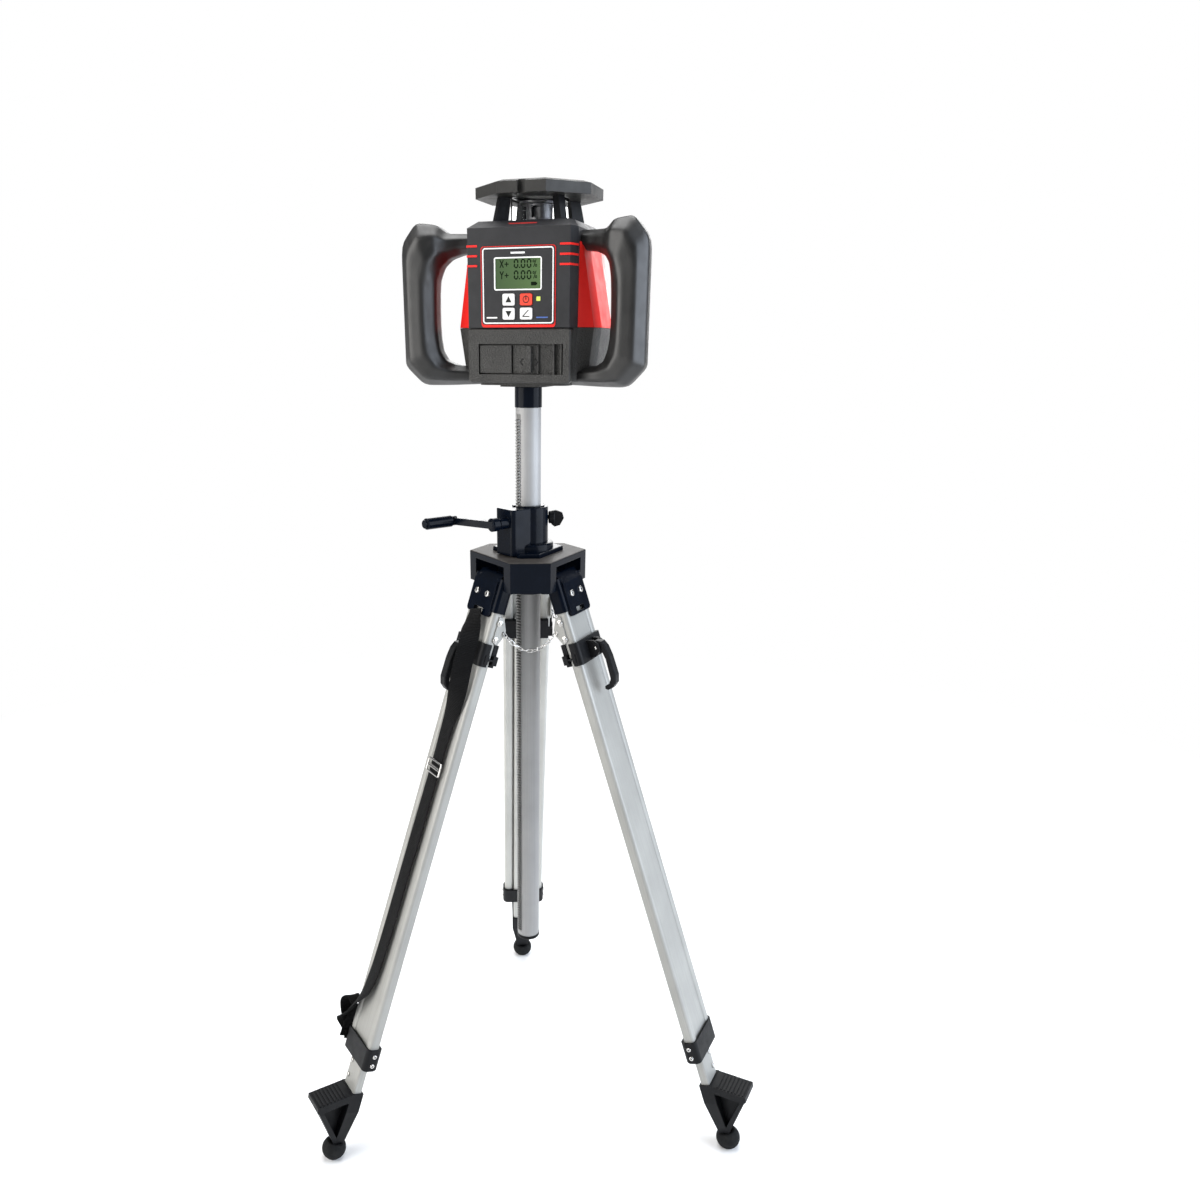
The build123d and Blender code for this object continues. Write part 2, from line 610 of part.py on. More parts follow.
BASE_HIGH_INNER = [(61.5, -37.5), (64, -33), (81, -22), (85, -1), (85, 49), (79, 69), (65, 81), (52, 91)]
# each station of a handle: inner and outer point in X and Z, then its front and back in Y
HANDLE = [
    ((62, 1198), (62, 1219), -26, 8),
    ((82, 1196.5), (82, 1219), -30, 6),
    ((96, 1191), (97, 1219), -40, 2),
    ((103, 1182), (108, 1228), -50, -4),
    ((106.5, 1168), (131, 1230.5), -56, -9),
    ((107.5, 1150), (150, 1207), -57, -10),
    ((108, 1120), (150, 1145), -57, -10),
    ((107, 1102), (150, 1088), -57, -10),
    ((104.5, 1088), (150, 1070), -57, -10),
    ((99, 1077), (128, 1048), -52, -6),
    ((88, 1071.5), (98, 1048), -41, 1),
    ((56, 1070), (56, 1049.5), -28, 6),
]
# octagonal section: share from inner to outer point, share from front to back
HANDLE_SECTION = [(0, 0.3), (0.28, 0), (0.72, 0), (1, 0.3), (1, 0.7), (0.72, 1), (0.28, 1), (0, 0.7)]
SURROUND = (PANEL_WIDTH + 2, PANEL_HEIGHT + 4, 3.6)
SURROUND_Z = PANEL_Z - 1.1
BAY = ((-58.8, 58.8), (-45, 21), (1068.4, 1111.8))


def place_laser(shape):
    return Rot(0, 0, LASER_YAW) * Pos(LASER_SHIFT, 0, 0) * shape


def upper_outer():
    body = prism(mirrored(CORE), Plane.XY, UPPER_BOTTOM, UPPER_TOP)
    return body + taper(mirrored(CORE), UPPER_TOP, mirrored(ROOF), ROOF_TOP)


def side_panel_outer(side):
    low = [(side * x, y) for x, y in PANEL_LOW]
    high = [(side * x, y) for x, y in PANEL_HIGH]
    return taper(low, UPPER_BOTTOM + 0.4, high, 1206)


def lower_outer():
    return taper(mirrored(BASE_LOW), LOWER_BOTTOM, mirrored(BASE_HIGH), UPPER_BOTTOM)


def rounded_panel(width, height, radius, front, back, z, x=0.0):
    """Upright plate facing -Y, with rounded corners."""
    outline = Plane.XZ * RectangleRounded(width, height, radius)
    return Pos(x, back, z) * extrude(outline, amount=back - front)


def accent_bands():
    """Three red bars round each front corner."""
    outline = [(50, -52.7), (62.7, -52.7), (67.5, -36.3), (65.7, -36.3), (61.4, -50.6), (50, -50.6)]
    bands = []
    for side in (-1, 1):
        corner = [(side * x, y) for x, y in outline]
        for height in (1181, 1191.5, 1202):
            bands.append(prism(corner, Plane.XY, height - 1.1, height + 1.1))
    return bands


def red_trim():
    """Surround of the control panel, deeper along its bottom, and the accent bars."""
    surround = rounded_panel(*SURROUND, -52.8, RECESS_BACK, SURROUND_Z)
    surround -= rounded_panel(PANEL_WIDTH, PANEL_HEIGHT, 3, OUT, -40, PANEL_Z)
    return [surround] + accent_bands()


def upper_housing():
    body = upper_outer()
    body -= prism(mirrored(CORE_INNER), Plane.XY, UPPER_BOTTOM, UPPER_TOP - 3)
    body -= slab((-40, 40), (OUT, -40), (1120, 1197))
    body -= rounded_panel(*SURROUND, OUT, RECESS_BACK, SURROUND_Z)
    body -= tower(12, 1180, ROOF_TOP + 1, 0, ROTOR_Y)
    for band in accent_bands():
        body -= band
    return body


def side_panels():
    panels = []
    for side in (-1, 1):
        low = [(side * x, y) for x, y in PANEL_LOW_INNER]
        high = [(side * x, y) for x, y in PANEL_HIGH_INNER]
        panels.append(side_panel_outer(side) - taper(low, UPPER_BOTTOM + 0.4, high, 1178))
    return panels


def lower_housing():
    """Tapering shell with the battery bay's walls inside it."""
    low = mirrored(BASE_LOW_INNER)
    high = mirrored(BASE_HIGH_INNER)
    body = lower_outer() - taper(low, LOWER_BOTTOM + 3, high, UPPER_BOTTOM)
    body += slab((-61, 61), (-38, 23.5), (1066, UPPER_BOTTOM)) & lower_outer()
    body -= slab(*BAY)
    return body - tower(14, 1050, 1066, -LASER_SHIFT)


def laser_base():
    """Foot plate with the threaded boss that screws onto the column's stud."""
    base = rounded_block(58, 58, 8, BASE_BOTTOM, BASE_BOTTOM + 2.2, -LASER_SHIFT)
    base += rounded_block(112, 108, 12, BASE_BOTTOM + 2.2, LOWER_BOTTOM, 0, 14)
    base += tower(14, LOWER_BOTTOM, 1065.8, -LASER_SHIFT)
    return base - tower(STUD_R + RUNNING, BASE_BOTTOM - 1, 1062, -LASER_SHIFT)


def carry_handles():
    """Thick rubber side handles, each swept from the housing's shoulder round to its foot."""
    handles = []
    for side in (-1, 1):
        sections = []
        for inner, outer, front, back in HANDLE:
            ring = []
            for across, depth in HANDLE_SECTION:
                x = inner[0] + (outer[0] - inner[0]) * across
                z = inner[1] + (outer[1] - inner[1]) * across
                ring.append((side * x, front + (back - front) * depth, z))
            sections.append(make_face(Polyline(*ring, close=True)))
        handle = loft(sections, ruled=True)
        for solid in (upper_outer(), side_panel_outer(side), lower_outer(), laser_base()):
            handle -= solid
        handles.append(max(handle.solids(), key=lambda solid: solid.volume))
    return handles


def control_panel():
    """Face plate with openings for the screen and the four buttons."""
    panel = rounded_panel(PANEL_WIDTH, PANEL_HEIGHT, 3, -53.4, RECESS_BACK, PANEL_Z)
    panel -= rounded_panel(LCD_WIDTH, LCD_HEIGHT, 1.5, OUT, -40, LCD_Z)
    for x, z in BUTTONS.values():
        panel -= rounded_panel(BUTTON_WIDTH + 0.8, BUTTON_HEIGHT + 0.8, 2.4, OUT, -40, z, x)
    return panel


def circuit_board():
    """Board behind the panel, with a switch under each button."""
    board = slab((-38, 38), (-40, -38.4), (1122, 1196))
    for x, z in BUTTONS.values():
        board += slab((x - 3, x + 3), (-44.8, -40), (z - 3, z + 3))
    return board


def battery_tray():
    """Drawer with the battery compartment's front: a recess with a raised pad and two ribs."""
    front = rounded_panel(127, 61, 4, FRONT, -41, 1082.8)
    front = chamfer(front.faces().sort_by(Axis.Y)[0].edges(), 1.5)
    front -= slab((-50, 54.5), (OUT, -46.5), (1062, 1096))
    front += slab((-48.5, -9), (-51, -46), (1063.5, 1094.5))
    for x in (42, 51):
        front += slab((x, x + 1.8), (-51, -46), (1062, 1096))
    drawer = slab((-58.2, 58.2), (-41, 20), (1069, 1098))
    drawer -= slab((-56.2, 56.2), (-39, 18), (1071, 1099))
    return front + drawer


def battery_latch():
    latch = slab((-7.5, 24), (-49, -46.8), (1063, 1095))
    return latch + slab((10, 16), (-54, -48), (1064.5, 1093.5))


def battery_cells():
    return [rod_x(13, x - 25, x + 25, y, 1084.2) for x in (-25.5, 25.5) for y in (-25.5, 4)]


def lighthouse_frame():
    """Four blade posts that carry the cap."""
    frame = []
    for azimuth in (45, 135, 225, 315):
        blade = [(44, ROOF_TOP), (61, ROOF_TOP), (54, CAP_BOTTOM), (40, CAP_BOTTOM)]
        frame.append(Pos(0, ROTOR_Y, 0) * Rot(0, 0, azimuth) * prism(blade, Plane.XZ, -4, 4))
    return frame


def lighthouse_glass():
    """Four-sided window round the rotor."""
    glass = rounded_block(56, 56, 4, ROOF_TOP, CAP_BOTTOM)
    glass -= rounded_block(52, 52, 2, ROOF_TOP, CAP_BOTTOM)
    return Pos(0, ROTOR_Y, 0) * glass


def top_cap():
    """Octagonal roof with a bevelled rim, hollow under its middle and notched in front."""
    octagon = []
    rim = []
    for count in range(8):
        angle = radians(22.5 + 45 * count)
        octagon.append((CAP_R * cos(angle), CAP_R * sin(angle)))
        rim.append((0.86 * CAP_R * cos(angle), 0.86 * CAP_R * sin(angle)))
    cap = prism(octagon, Plane.XY, CAP_BOTTOM, CAP_TOP) + taper(octagon, CAP_TOP, rim, CAP_TOP + 3)
    cap -= tower(37, CAP_BOTTOM - 1, CAP_BOTTOM + 5)
    flat = CAP_R * cos(radians(22.5))
    cap -= slab((-4.5, 4.5), (-CAP_R, 7 - flat), (CAP_BOTTOM - 1, CAP_TOP + 6))
    return Pos(0, ROTOR_Y, 0) * cap


def rotor_head():
    """Turning prism housing with its beam window and the disc over it."""
    head = tower(16, ROOF_TOP + 3, CAP_BOTTOM - 5) + tower(24, CAP_BOTTOM - 5, CAP_BOTTOM - 2.5)
    head -= slab((-5, 5), (-17, -8), (ROOF_TOP + 8, ROOF_TOP + 20))
    head -= tower(SPINDLE_R + RUNNING, ROOF_TOP + 2, ROOF_TOP + 17)
    return Pos(0, ROTOR_Y, 0) * head


def rotor_motor():
    """Motor under the roof, its spindle up into the rotor."""
    motor = tower(20, 1168, 1206) + tower(SPINDLE_R, 1206, ROOF_TOP + 16)
    return Pos(0, ROTOR_Y, 0) * motor


def save_laser():
    save("laser_base", place_laser(laser_base()))
    save("lower_housing", place_laser(lower_housing()))
    save("upper_housing", place_laser(upper_housing()))
    save("side_panels", *[place_laser(panel) for panel in side_panels()])
    save("red_trim", *[place_laser(piece) for piece in red_trim()])
    save("carry_handles", *[place_laser(handle) for handle in carry_handles()])
    save("control_panel", place_laser(control_panel()))
    screen = rounded_panel(LCD_WIDTH, LCD_HEIGHT, 1.5, -52.6, -47, LCD_Z)
    save("lcd_screen", place_laser(screen))
    for name, (x, z) in BUTTONS.items():
        button = rounded_panel(BUTTON_WIDTH, BUTTON_HEIGHT, 2, -54.8, -46.2, z, x)
        save(f"button_{name}", place_laser(button))
    save("circuit_board", place_laser(circuit_board()))
    save("battery_tray", place_laser(battery_tray()))
    save("battery_latch", place_laser(battery_latch()))
    save("battery_cells", *[place_laser(cell) for cell in battery_cells()])
    save("lighthouse_frame", *[place_laser(post) for post in lighthouse_frame()])
    save("lighthouse_glass", place_laser(lighthouse_glass()))
    save("top_cap", place_laser(top_cap()))
    save("rotor_head", place_laser(rotor_head()))
    save("rotor_motor", place_laser(rotor_motor()))


save_legs()
save_head()
save_laser()
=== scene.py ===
import json
from math import cos, pi, radians, sin

import bmesh
import bpy
from mathutils import Matrix, Vector

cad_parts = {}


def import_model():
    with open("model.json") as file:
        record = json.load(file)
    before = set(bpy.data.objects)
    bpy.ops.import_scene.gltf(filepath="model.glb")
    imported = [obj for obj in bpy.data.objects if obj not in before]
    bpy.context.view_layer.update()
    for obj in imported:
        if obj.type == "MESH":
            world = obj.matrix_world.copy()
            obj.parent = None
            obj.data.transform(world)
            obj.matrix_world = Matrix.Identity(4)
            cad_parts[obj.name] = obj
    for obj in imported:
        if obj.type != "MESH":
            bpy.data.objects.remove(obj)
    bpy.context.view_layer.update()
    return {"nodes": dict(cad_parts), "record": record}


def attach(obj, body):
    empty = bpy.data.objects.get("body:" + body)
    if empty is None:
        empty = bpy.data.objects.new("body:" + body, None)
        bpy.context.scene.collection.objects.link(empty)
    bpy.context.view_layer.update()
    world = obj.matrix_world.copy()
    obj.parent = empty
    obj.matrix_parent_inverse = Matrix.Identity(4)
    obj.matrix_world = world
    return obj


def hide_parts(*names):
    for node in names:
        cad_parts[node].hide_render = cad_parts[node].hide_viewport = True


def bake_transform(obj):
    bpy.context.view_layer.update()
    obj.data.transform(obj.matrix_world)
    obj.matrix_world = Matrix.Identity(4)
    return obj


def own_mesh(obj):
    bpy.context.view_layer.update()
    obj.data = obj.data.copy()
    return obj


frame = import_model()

MM = 0.001

# ---- the frame's own dimensions, millimetres --------------------------------------------------
LEG_AZIMUTHS = {"left": 210, "right": 330, "back": 90}
HINGE_RADIUS = 52.4
HINGE_HEIGHT = 807.0
LEG_TILT = 19.2
RAIL_HALF = 33.0                 # half the width of a leg
PLATE_OUT = 12.4                 # outward face of a bracket's cover plate
LASER_YAW = -20
LASER_SHIFT = 4.5
ROOF_SLOPE = ((-52.0, 1221.0), (-35.0, 1229.5))   # the roof's front bevel, Y and Z
LATCH_FACE = -49.0
PANEL_FACE = -53.4
PANEL_Z = 1159.0
LCD_Z = 1172.0
LCD_FACE = -52.6
BUTTON_FACE = -54.8
SHOULDER_EDGE = (0.8388, 0.8396)  # metres: under it the casting is enamel, over it the plate's paint

# ---- small hardware, millimetres in a leg's frame, with depth down the leg ---------------------
BRACKET_SCREW_SIDE = 13
BRACKET_SCREW_DEPTH = 17
RIVET_DEPTHS = (49, 71)
RIVET_FACE = RAIL_HALF + 1.55    # the chain plates' outer face
RIVET_LINE = -4.8
COLLAR_SCREW_DEPTHS = (671, 685)
COLLAR_FACE = RAIL_HALF + 3
CLAMP_PIN = (10.55, 22, 94)      # the cam lever's pin: X of its end, Y and depth
PIN_END = [(1.9, 0), (1.9, 0.5), (1.2, 1.0), (0.3, 1.1)]
FOOT_SCREW_DEPTHS = (704, 727)
CHAIN_ANCHOR = (35.2, -13, -59.5)
CHAIN_DROP = 0.024               # metres, at the middle of a chain


# ---- placing ------------------------------------------------------------------------------------
def leg_frame(name):
    """Leg frame in metres: +Y outward, -Z down the leg, origin on the hinge's axis."""
    turn = Matrix.Rotation(radians(LEG_AZIMUTHS[name] - 90), 4, "Z")
    shift = Matrix.Translation((0, HINGE_RADIUS * MM, HINGE_HEIGHT * MM))
    return turn @ shift @ Matrix.Rotation(radians(LEG_TILT), 4, "X") @ Matrix.Scale(MM, 4)


YAW = Matrix.Rotation(radians(LASER_YAW), 4, "Z")
LASER = YAW @ Matrix.Translation((LASER_SHIFT * MM, 0, 0)) @ Matrix.Scale(MM, 4)


def facing(centre, direction, roll=0.0):
    """Frame whose +Z points along direction, at a centre."""
    turn = Vector(direction).to_track_quat("Z", "Y").to_matrix().to_4x4()
    return Matrix.Translation(centre) @ turn @ Matrix.Rotation(roll, 4, "Z")


# ---- materials ----------------------------------------------------------------------------------
class Look:
    """One material's node tree, with short calls for the nodes that the looks use."""

    def __init__(self, name):
        self.material = bpy.data.materials.new(name)
        self.material.use_nodes = True
        self.tree = self.material.node_tree
        self.tree.nodes.clear()
        self.shader = self.add("ShaderNodeBsdfPrincipled")
        output = self.add("ShaderNodeOutputMaterial")
        self.tree.links.new(self.shader.outputs["BSDF"], output.inputs["Surface"])
        self.place = self.add("ShaderNodeTexCoord").outputs["Object"]

    def add(self, kind, **settings):
        node = self.tree.nodes.new(kind)
        for key, value in settings.items():
            setattr(node, key, value)
        return node

    def feed(self, node, socket, value):
        """Set an input, or link it where value is another node's output."""
        if isinstance(value, bpy.types.NodeSocket):
            self.tree.links.new(value, node.inputs[socket])
        else:
            node.inputs[socket].default_value = value

    def turned(self, matrix, stretch=(1, 1, 1)):
        """The place in the frame of matrix, stretched along that frame's axes."""
        node = self.add("ShaderNodeMapping", vector_type="TEXTURE")
        euler = matrix.to_quaternion().to_euler()
        self.feed(node, "Vector", self.place)
        self.feed(node, "Location", matrix.translation)
        self.feed(node, "Rotation", euler)
        self.feed(node, "Scale", [1 / s for s in stretch])
        return node.outputs["Vector"]

    def noise(self, scale, detail=3.0, roughness=0.55, place=None):
        node = self.add("ShaderNodeTexNoise")
        self.feed(node, "Vector", place or self.place)
        self.feed(node, "Scale", scale)
        self.feed(node, "Detail", detail)
        self.feed(node, "Roughness", roughness)
        return node.outputs["Fac"]

    def cells(self, scale):
        node = self.add("ShaderNodeTexVoronoi", feature="SMOOTH_F1")
        self.feed(node, "Vector", self.place)
        self.feed(node, "Scale", scale)
        return node.outputs["Distance"]

    def span(self, value, low, high, to_low=0.0, to_high=1.0):
        node = self.add("ShaderNodeMapRange")
        self.feed(node, "Value", value)
        limits = {"From Min": low, "From Max": high, "To Min": to_low, "To Max": to_high}
        for socket, number in limits.items():
            self.feed(node, socket, number)
        return node.outputs["Result"]

    def sum(self, kind, a, b=0.0):
        node = self.add("ShaderNodeMath", operation=kind)
        self.feed(node, 0, a)
        self.feed(node, 1, b)
        return node.outputs["Value"]

    def mix(self, factor, a, b):
        node = self.add("ShaderNodeMix", data_type="RGBA")
        self.feed(node, 0, factor)
        self.feed(node, 6, a if isinstance(a, bpy.types.NodeSocket) else (*a, 1))
        self.feed(node, 7, b if isinstance(b, bpy.types.NodeSocket) else (*b, 1))
        return node.outputs[2]

    def rounded(self, radius):
        """The normal as if each edge were rounded to that radius."""
        node = self.add("ShaderNodeBevel", samples=4)
        self.feed(node, "Radius", radius)
        return node.outputs["Normal"]

    def edges(self, normal):
        """1 on edges and 0 on flats, from the rounded normal."""
        node = self.add("ShaderNodeVectorMath", operation="DOT_PRODUCT")
        self.tree.links.new(normal, node.inputs[0])
        self.tree.links.new(self.add("ShaderNodeNewGeometry").outputs["Normal"], node.inputs[1])
        return self.span(node.outputs["Value"], 0.995, 0.86)

    def bump(self, height, depth, normal=None, strength=1.0):
        node = self.add("ShaderNodeBump")
        self.feed(node, "Height", height)
        self.feed(node, "Distance", depth)
        self.feed(node, "Strength", strength)
        if normal is not None:
            self.feed(node, "Normal", normal)
        return node.outputs["Normal"]

    def set(self, **values):
        """Principled inputs by name, with _ for a space."""
        for key, value in values.items():
            name = key.replace("_", " ")
            if name in ("Base Color", "Emission Color") and not isinstance(value, bpy.types.NodeSocket):
                value = (*value, 1)
            self.feed(self.shader, name, value)
        return self.material


def shade(colour, factor):
    return tuple(min(1.0, channel * factor) for channel in colour)


def moulded(name, colour, rough=0.5, grain=1500, depth=0.00004, pebble=0.0, edge_wear_and_highlight=0.12, level=0.35,
            radius=0.0006, spread=0.22, coat=0.0):
    """Moulded plastic, rubber or a painted casting: fine grain, faint blotches and paler edges, which are
    partly wear and partly a painted highlight.
    """
    look = Look(name)
    blotches = look.noise(38, 4, 0.6)
    tone = look.mix(look.span(blotches, 0.3, 0.7), shade(colour, 1 - spread), shade(colour, 1 + spread))
    rounded = look.rounded(radius)
    edge = look.edges(rounded)
    # paler edges where the noise allows: partly wear, partly a painted highlight along the edges
    worn = look.sum("MULTIPLY", edge, look.span(look.noise(210, 3), 0.42, 0.62, 0, edge_wear_and_highlight))
    base = look.mix(worn, tone, shade([channel + 0.03 for channel in colour], 3.2))
    fine = look.noise(grain, 2, 0.5)
    height = fine
    if pebble:
        height = look.sum("ADD", look.sum("MULTIPLY", look.cells(pebble), 1.4), fine)
    roughness = look.span(look.noise(75, 3), 0.3, 0.7, rough - 0.06, rough + 0.08)
    return look.set(
        Base_Color=base, Roughness=roughness, Normal=look.bump(height, depth, rounded),
        Specular_IOR_Level=level, Coat_Weight=coat, Coat_Roughness=0.12)


def drawn_metal(name, colour, rough=0.34, matrix=Matrix.Identity(4), streak=(900, 900, 5), depth=0.000012,
                radius=0.0005, spread=0.09, metallic=1.0):
    """Extruded or turned metal with fine streaks along the frame's own Z."""
    look = Look(name)
    lines = look.noise(1.0, 3, 0.6, look.turned(matrix, streak))
    cloud = look.noise(14, 3, 0.6)
    pale = look.mix(look.span(cloud, 0.3, 0.7), shade(colour, 1 - spread), shade(colour, 1 + spread))
    base = look.mix(look.span(lines, 0.35, 0.65, 0, 0.35), pale, shade(colour, 0.8))
    rounded = look.rounded(radius)
    roughness = look.span(lines, 0.3, 0.7, rough - 0.05, rough + 0.07)
    return look.set(
        Base_Color=base, Metallic=metallic, Roughness=roughness, Normal=look.bump(lines, depth, rounded))


def woven(name, colour):
    """Ribbed polyester webbing. The UV map is in millimetres: across, then along."""
    look = Look(name)
    uv = look.add("ShaderNodeUVMap", uv_map="weave").outputs["UV"]
    parts = look.add("ShaderNodeSeparateXYZ")
    look.feed(parts, "Vector", uv)
    across, along = parts.outputs["X"], parts.outputs["Y"]
    rib = look.sum("SINE", look.sum("MULTIPLY", along, 2 * pi / 2.2))
    slant = look.sum("ADD", across, look.sum("MULTIPLY", along, 0.5))
    twill = look.sum("SINE", look.sum("MULTIPLY", slant, 2 * pi / 1.3))
    threads = look.sum("ADD", look.sum("MULTIPLY", rib, 0.7), look.sum("MULTIPLY", twill, 0.3))
    fuzz = look.noise(2600, 2)
    height = look.sum("ADD", threads, look.sum("MULTIPLY", fuzz, 0.6))
    tone = look.mix(look.span(threads, -1, 1), shade(colour, 0.55), shade(colour, 1.5))
    worn = look.mix(look.span(look.noise(45, 4), 0.5, 0.75, 0, 0.35), tone, shade(colour, 2.2))
    return look.set(
        Base_Color=worn, Roughness=0.82, Normal=look.bump(height, 0.00035), Specular_IOR_Level=0.12,
        Sheen_Weight=0.04, Sheen_Roughness=0.4)


def printed(name, colour, rough=0.45, level=0.4):
    """Screen-printed ink or a small painted mark, slightly uneven."""
    look = Look(name)
    tone = look.mix(look.span(look.noise(420, 3), 0.3, 0.7), shade(colour, 0.88), shade(colour, 1.05))
    grain = look.bump(look.noise(2200, 2), 0.00002)
    return look.set(Base_Color=tone, Roughness=rough, Specular_IOR_Level=level, Normal=grain)


def lcd_glass(name):
    """Green reflective LCD under a clear window, with its faint cell grid, painted shade darkening it towards
    its left end and a faint painted glow.
    """
    look = Look(name)
    parts = look.add("ShaderNodeSeparateXYZ")
    look.feed(parts, "Vector", look.turned(YAW))
    grid = [
        look.sum("PINGPONG", look.sum("MULTIPLY", parts.outputs[axis], 1000), 0.35) for axis in ("X", "Z")]
    lines = look.span(look.sum("MINIMUM", *grid), 0.0, 0.06, 0.0, 1.0)
    # painted shade: the green darkens towards the display's left end
    glow = look.span(parts.outputs["X"], -0.026, 0.030)
    green = look.mix(glow, (0.030, 0.058, 0.022), (0.066, 0.118, 0.042))
    base = look.mix(lines, (0.042, 0.078, 0.028), green)
    # the emission is a painted glow: the display itself gives no light
    return look.set(
        Base_Color=base, Roughness=0.35, Specular_IOR_Level=0.2, Coat_Weight=0.05, Coat_Roughness=0.05,
        Emission_Color=base, Emission_Strength=0.35)


def shoulder(name):
    """Cast shoulder: matte grey-brown paint on the plate, glossy black on everything under it, with paler
    edges that are partly wear and partly a painted highlight.
    """
    look = Look(name)
    parts = look.add("ShaderNodeSeparateXYZ")
    look.feed(parts, "Vector", look.place)
    upper = look.span(parts.outputs["Z"], *SHOULDER_EDGE)
    blotches = look.span(look.noise(38, 4, 0.6), 0.3, 0.7)
    paint = look.mix(blotches, (0.040, 0.036, 0.033), (0.062, 0.056, 0.051))
    enamel = look.mix(blotches, (0.0012, 0.0028, 0.0064), (0.0020, 0.0040, 0.0086))
    rounded = look.rounded(0.0008)
    # paler edges where the noise allows: partly wear, partly a painted highlight along the edges
    edge_scuffs_and_highlight = look.span(look.noise(210, 3), 0.42, 0.62, 0, 0.25)
    worn = look.sum("MULTIPLY", look.edges(rounded), edge_scuffs_and_highlight)
    base = look.mix(worn, look.mix(upper, enamel, paint), (0.11, 0.10, 0.095))
    return look.set(
        Base_Color=base, Roughness=look.span(upper, 0, 1, 0.22, 0.55),
        Coat_Weight=0.05, Coat_Roughness=0.12,
        Normal=look.bump(look.noise(1100, 2), 0.00001, rounded), Specular_IOR_Level=0.08)


def clear_glass(name):
    """Thin clear window with faint smears."""
    look = Look(name)
    smears = look.span(look.noise(60, 4), 0.35, 0.75, 0.0, 0.04)
    tint = look.mix(look.span(look.noise(20, 2), 0.3, 0.7), (0.97, 0.985, 0.98), (0.99, 0.99, 0.99))
    return look.set(
        Base_Color=tint, Roughness=smears, Transmission_Weight=1.0, IOR=1.08, Specular_IOR_Level=0.5)


def ball_rubber(name):
    """Dusty rubber of a foot, with moulding rings round its own height."""
    look = Look(name)
    rings = look.sum("SINE", look.sum("MULTIPLY", look.noise(420, 2), 9))
    dust = look.span(look.noise(95, 5, 0.65), 0.48, 0.72, 0, 0.5)
    base = look.mix(dust, (0.007, 0.0075, 0.008), (0.022, 0.022, 0.021))
    height = look.sum("ADD", look.noise(1300, 3), look.sum("MULTIPLY", rings, 0.15))
    return look.set(
        Base_Color=base, Roughness=0.78, Specular_IOR_Level=0.16,
        Normal=look.bump(height, 0.00008, look.rounded(0.0008)))


LOOKS = {
    "housing_grey": moulded("housing_grey", (0.0165, 0.0168, 0.0190), 0.46, 1900, 0.00003, level=0.30),
    "cap_grey": moulded("cap_grey", (0.0200, 0.0195, 0.0180), 0.48, 1700, 0.00004, level=0.34),
    "pebbled_black": moulded(
        "pebbled_black", (0.0250, 0.0243, 0.0225), 0.42, 1500, 0.0005, pebble=560, level=0.42),
    "rubber_black": moulded(
        "rubber_black", (0.0075, 0.0074, 0.0072), 0.38, 1600, 0.00004, level=0.55, radius=0.0015),
    "matte_black": moulded("matte_black", (0.0046, 0.0050, 0.0060), 0.46, 1300, 0.00005, level=0.15),
    "gloss_black": moulded(
        "gloss_black", (0.0014, 0.0030, 0.0070), 0.20, 700, 0.000004, level=0.06, coat=0.04, radius=0.001),
    "shoulder_paint": shoulder("shoulder_paint"),
    "red_gloss": moulded(
        "red_gloss", (0.78, 0.020, 0.016), 0.34, 900, 0.000008, level=0.22, coat=0.05, edge_wear_and_highlight=0.0, spread=0.05),
    "button_white": moulded(
        "button_white", (0.78, 0.77, 0.75), 0.4, 1600, 0.00003, level=0.4, edge_wear_and_highlight=0.0, spread=0.04),
    "button_red": moulded(
        "button_red", (0.72, 0.050, 0.024), 0.38, 1600, 0.00003, level=0.4, edge_wear_and_highlight=0.0, spread=0.06),
    "board_green": moulded("board_green", (0.02, 0.12, 0.04), 0.4, 500, 0.00003, edge_wear_and_highlight=0.0),
    "cell_wrap": moulded("cell_wrap", (0.05, 0.09, 0.2), 0.3, 600, 0.00001, edge_wear_and_highlight=0.0, coat=0.4),
    "steel": drawn_metal("steel", (0.24, 0.24, 0.235), 0.3, streak=(300, 300, 60), spread=0.15),
    "bright_chrome": drawn_metal(
        "bright_chrome", (0.60, 0.59, 0.57), 0.18, streak=(200, 200, 200), spread=0.08),
    "anodised": drawn_metal("anodised", (0.34, 0.34, 0.34), 0.50, metallic=0.3),
    "lcd_green": lcd_glass("lcd_green"),
    "glass_clear": clear_glass("glass_clear"),
    "webbing": woven("webbing", (0.0028, 0.0029, 0.0032)),
    "foot_rubber": ball_rubber("foot_rubber"),
    "rotor_satin": drawn_metal("rotor_satin", (0.11, 0.11, 0.115), 0.38, streak=(60, 60, 900)),
    "ink_white": printed("ink_white", (0.88, 0.88, 0.87)),
    "ink_blue": printed("ink_blue", (0.06, 0.13, 0.42)),
    "ink_dark": printed("ink_dark", (0.012, 0.014, 0.012), 0.5, 0.2),
    "ink_red": printed("ink_red", (0.42, 0.014, 0.012)),
    "lcd_ink": printed("lcd_ink", (0.005, 0.010, 0.004), 0.6, 0.05),
    "led_lime": printed("led_lime", (0.62, 0.72, 0.12), 0.25),
}
# the back leg's copy of the anodised metal is paler than the others: painted light
LEG_PAINTED_LIGHT_TONES = {"left": 0.34, "right": 0.34, "back": 0.46}
for leg_name, tone in LEG_PAINTED_LIGHT_TONES.items():
    look_name = f"anodised_{leg_name}"
    LOOKS[look_name] = drawn_metal(
        look_name, (tone, tone, tone * 0.95), 0.50, leg_frame(leg_name).normalized(), metallic=0.4)

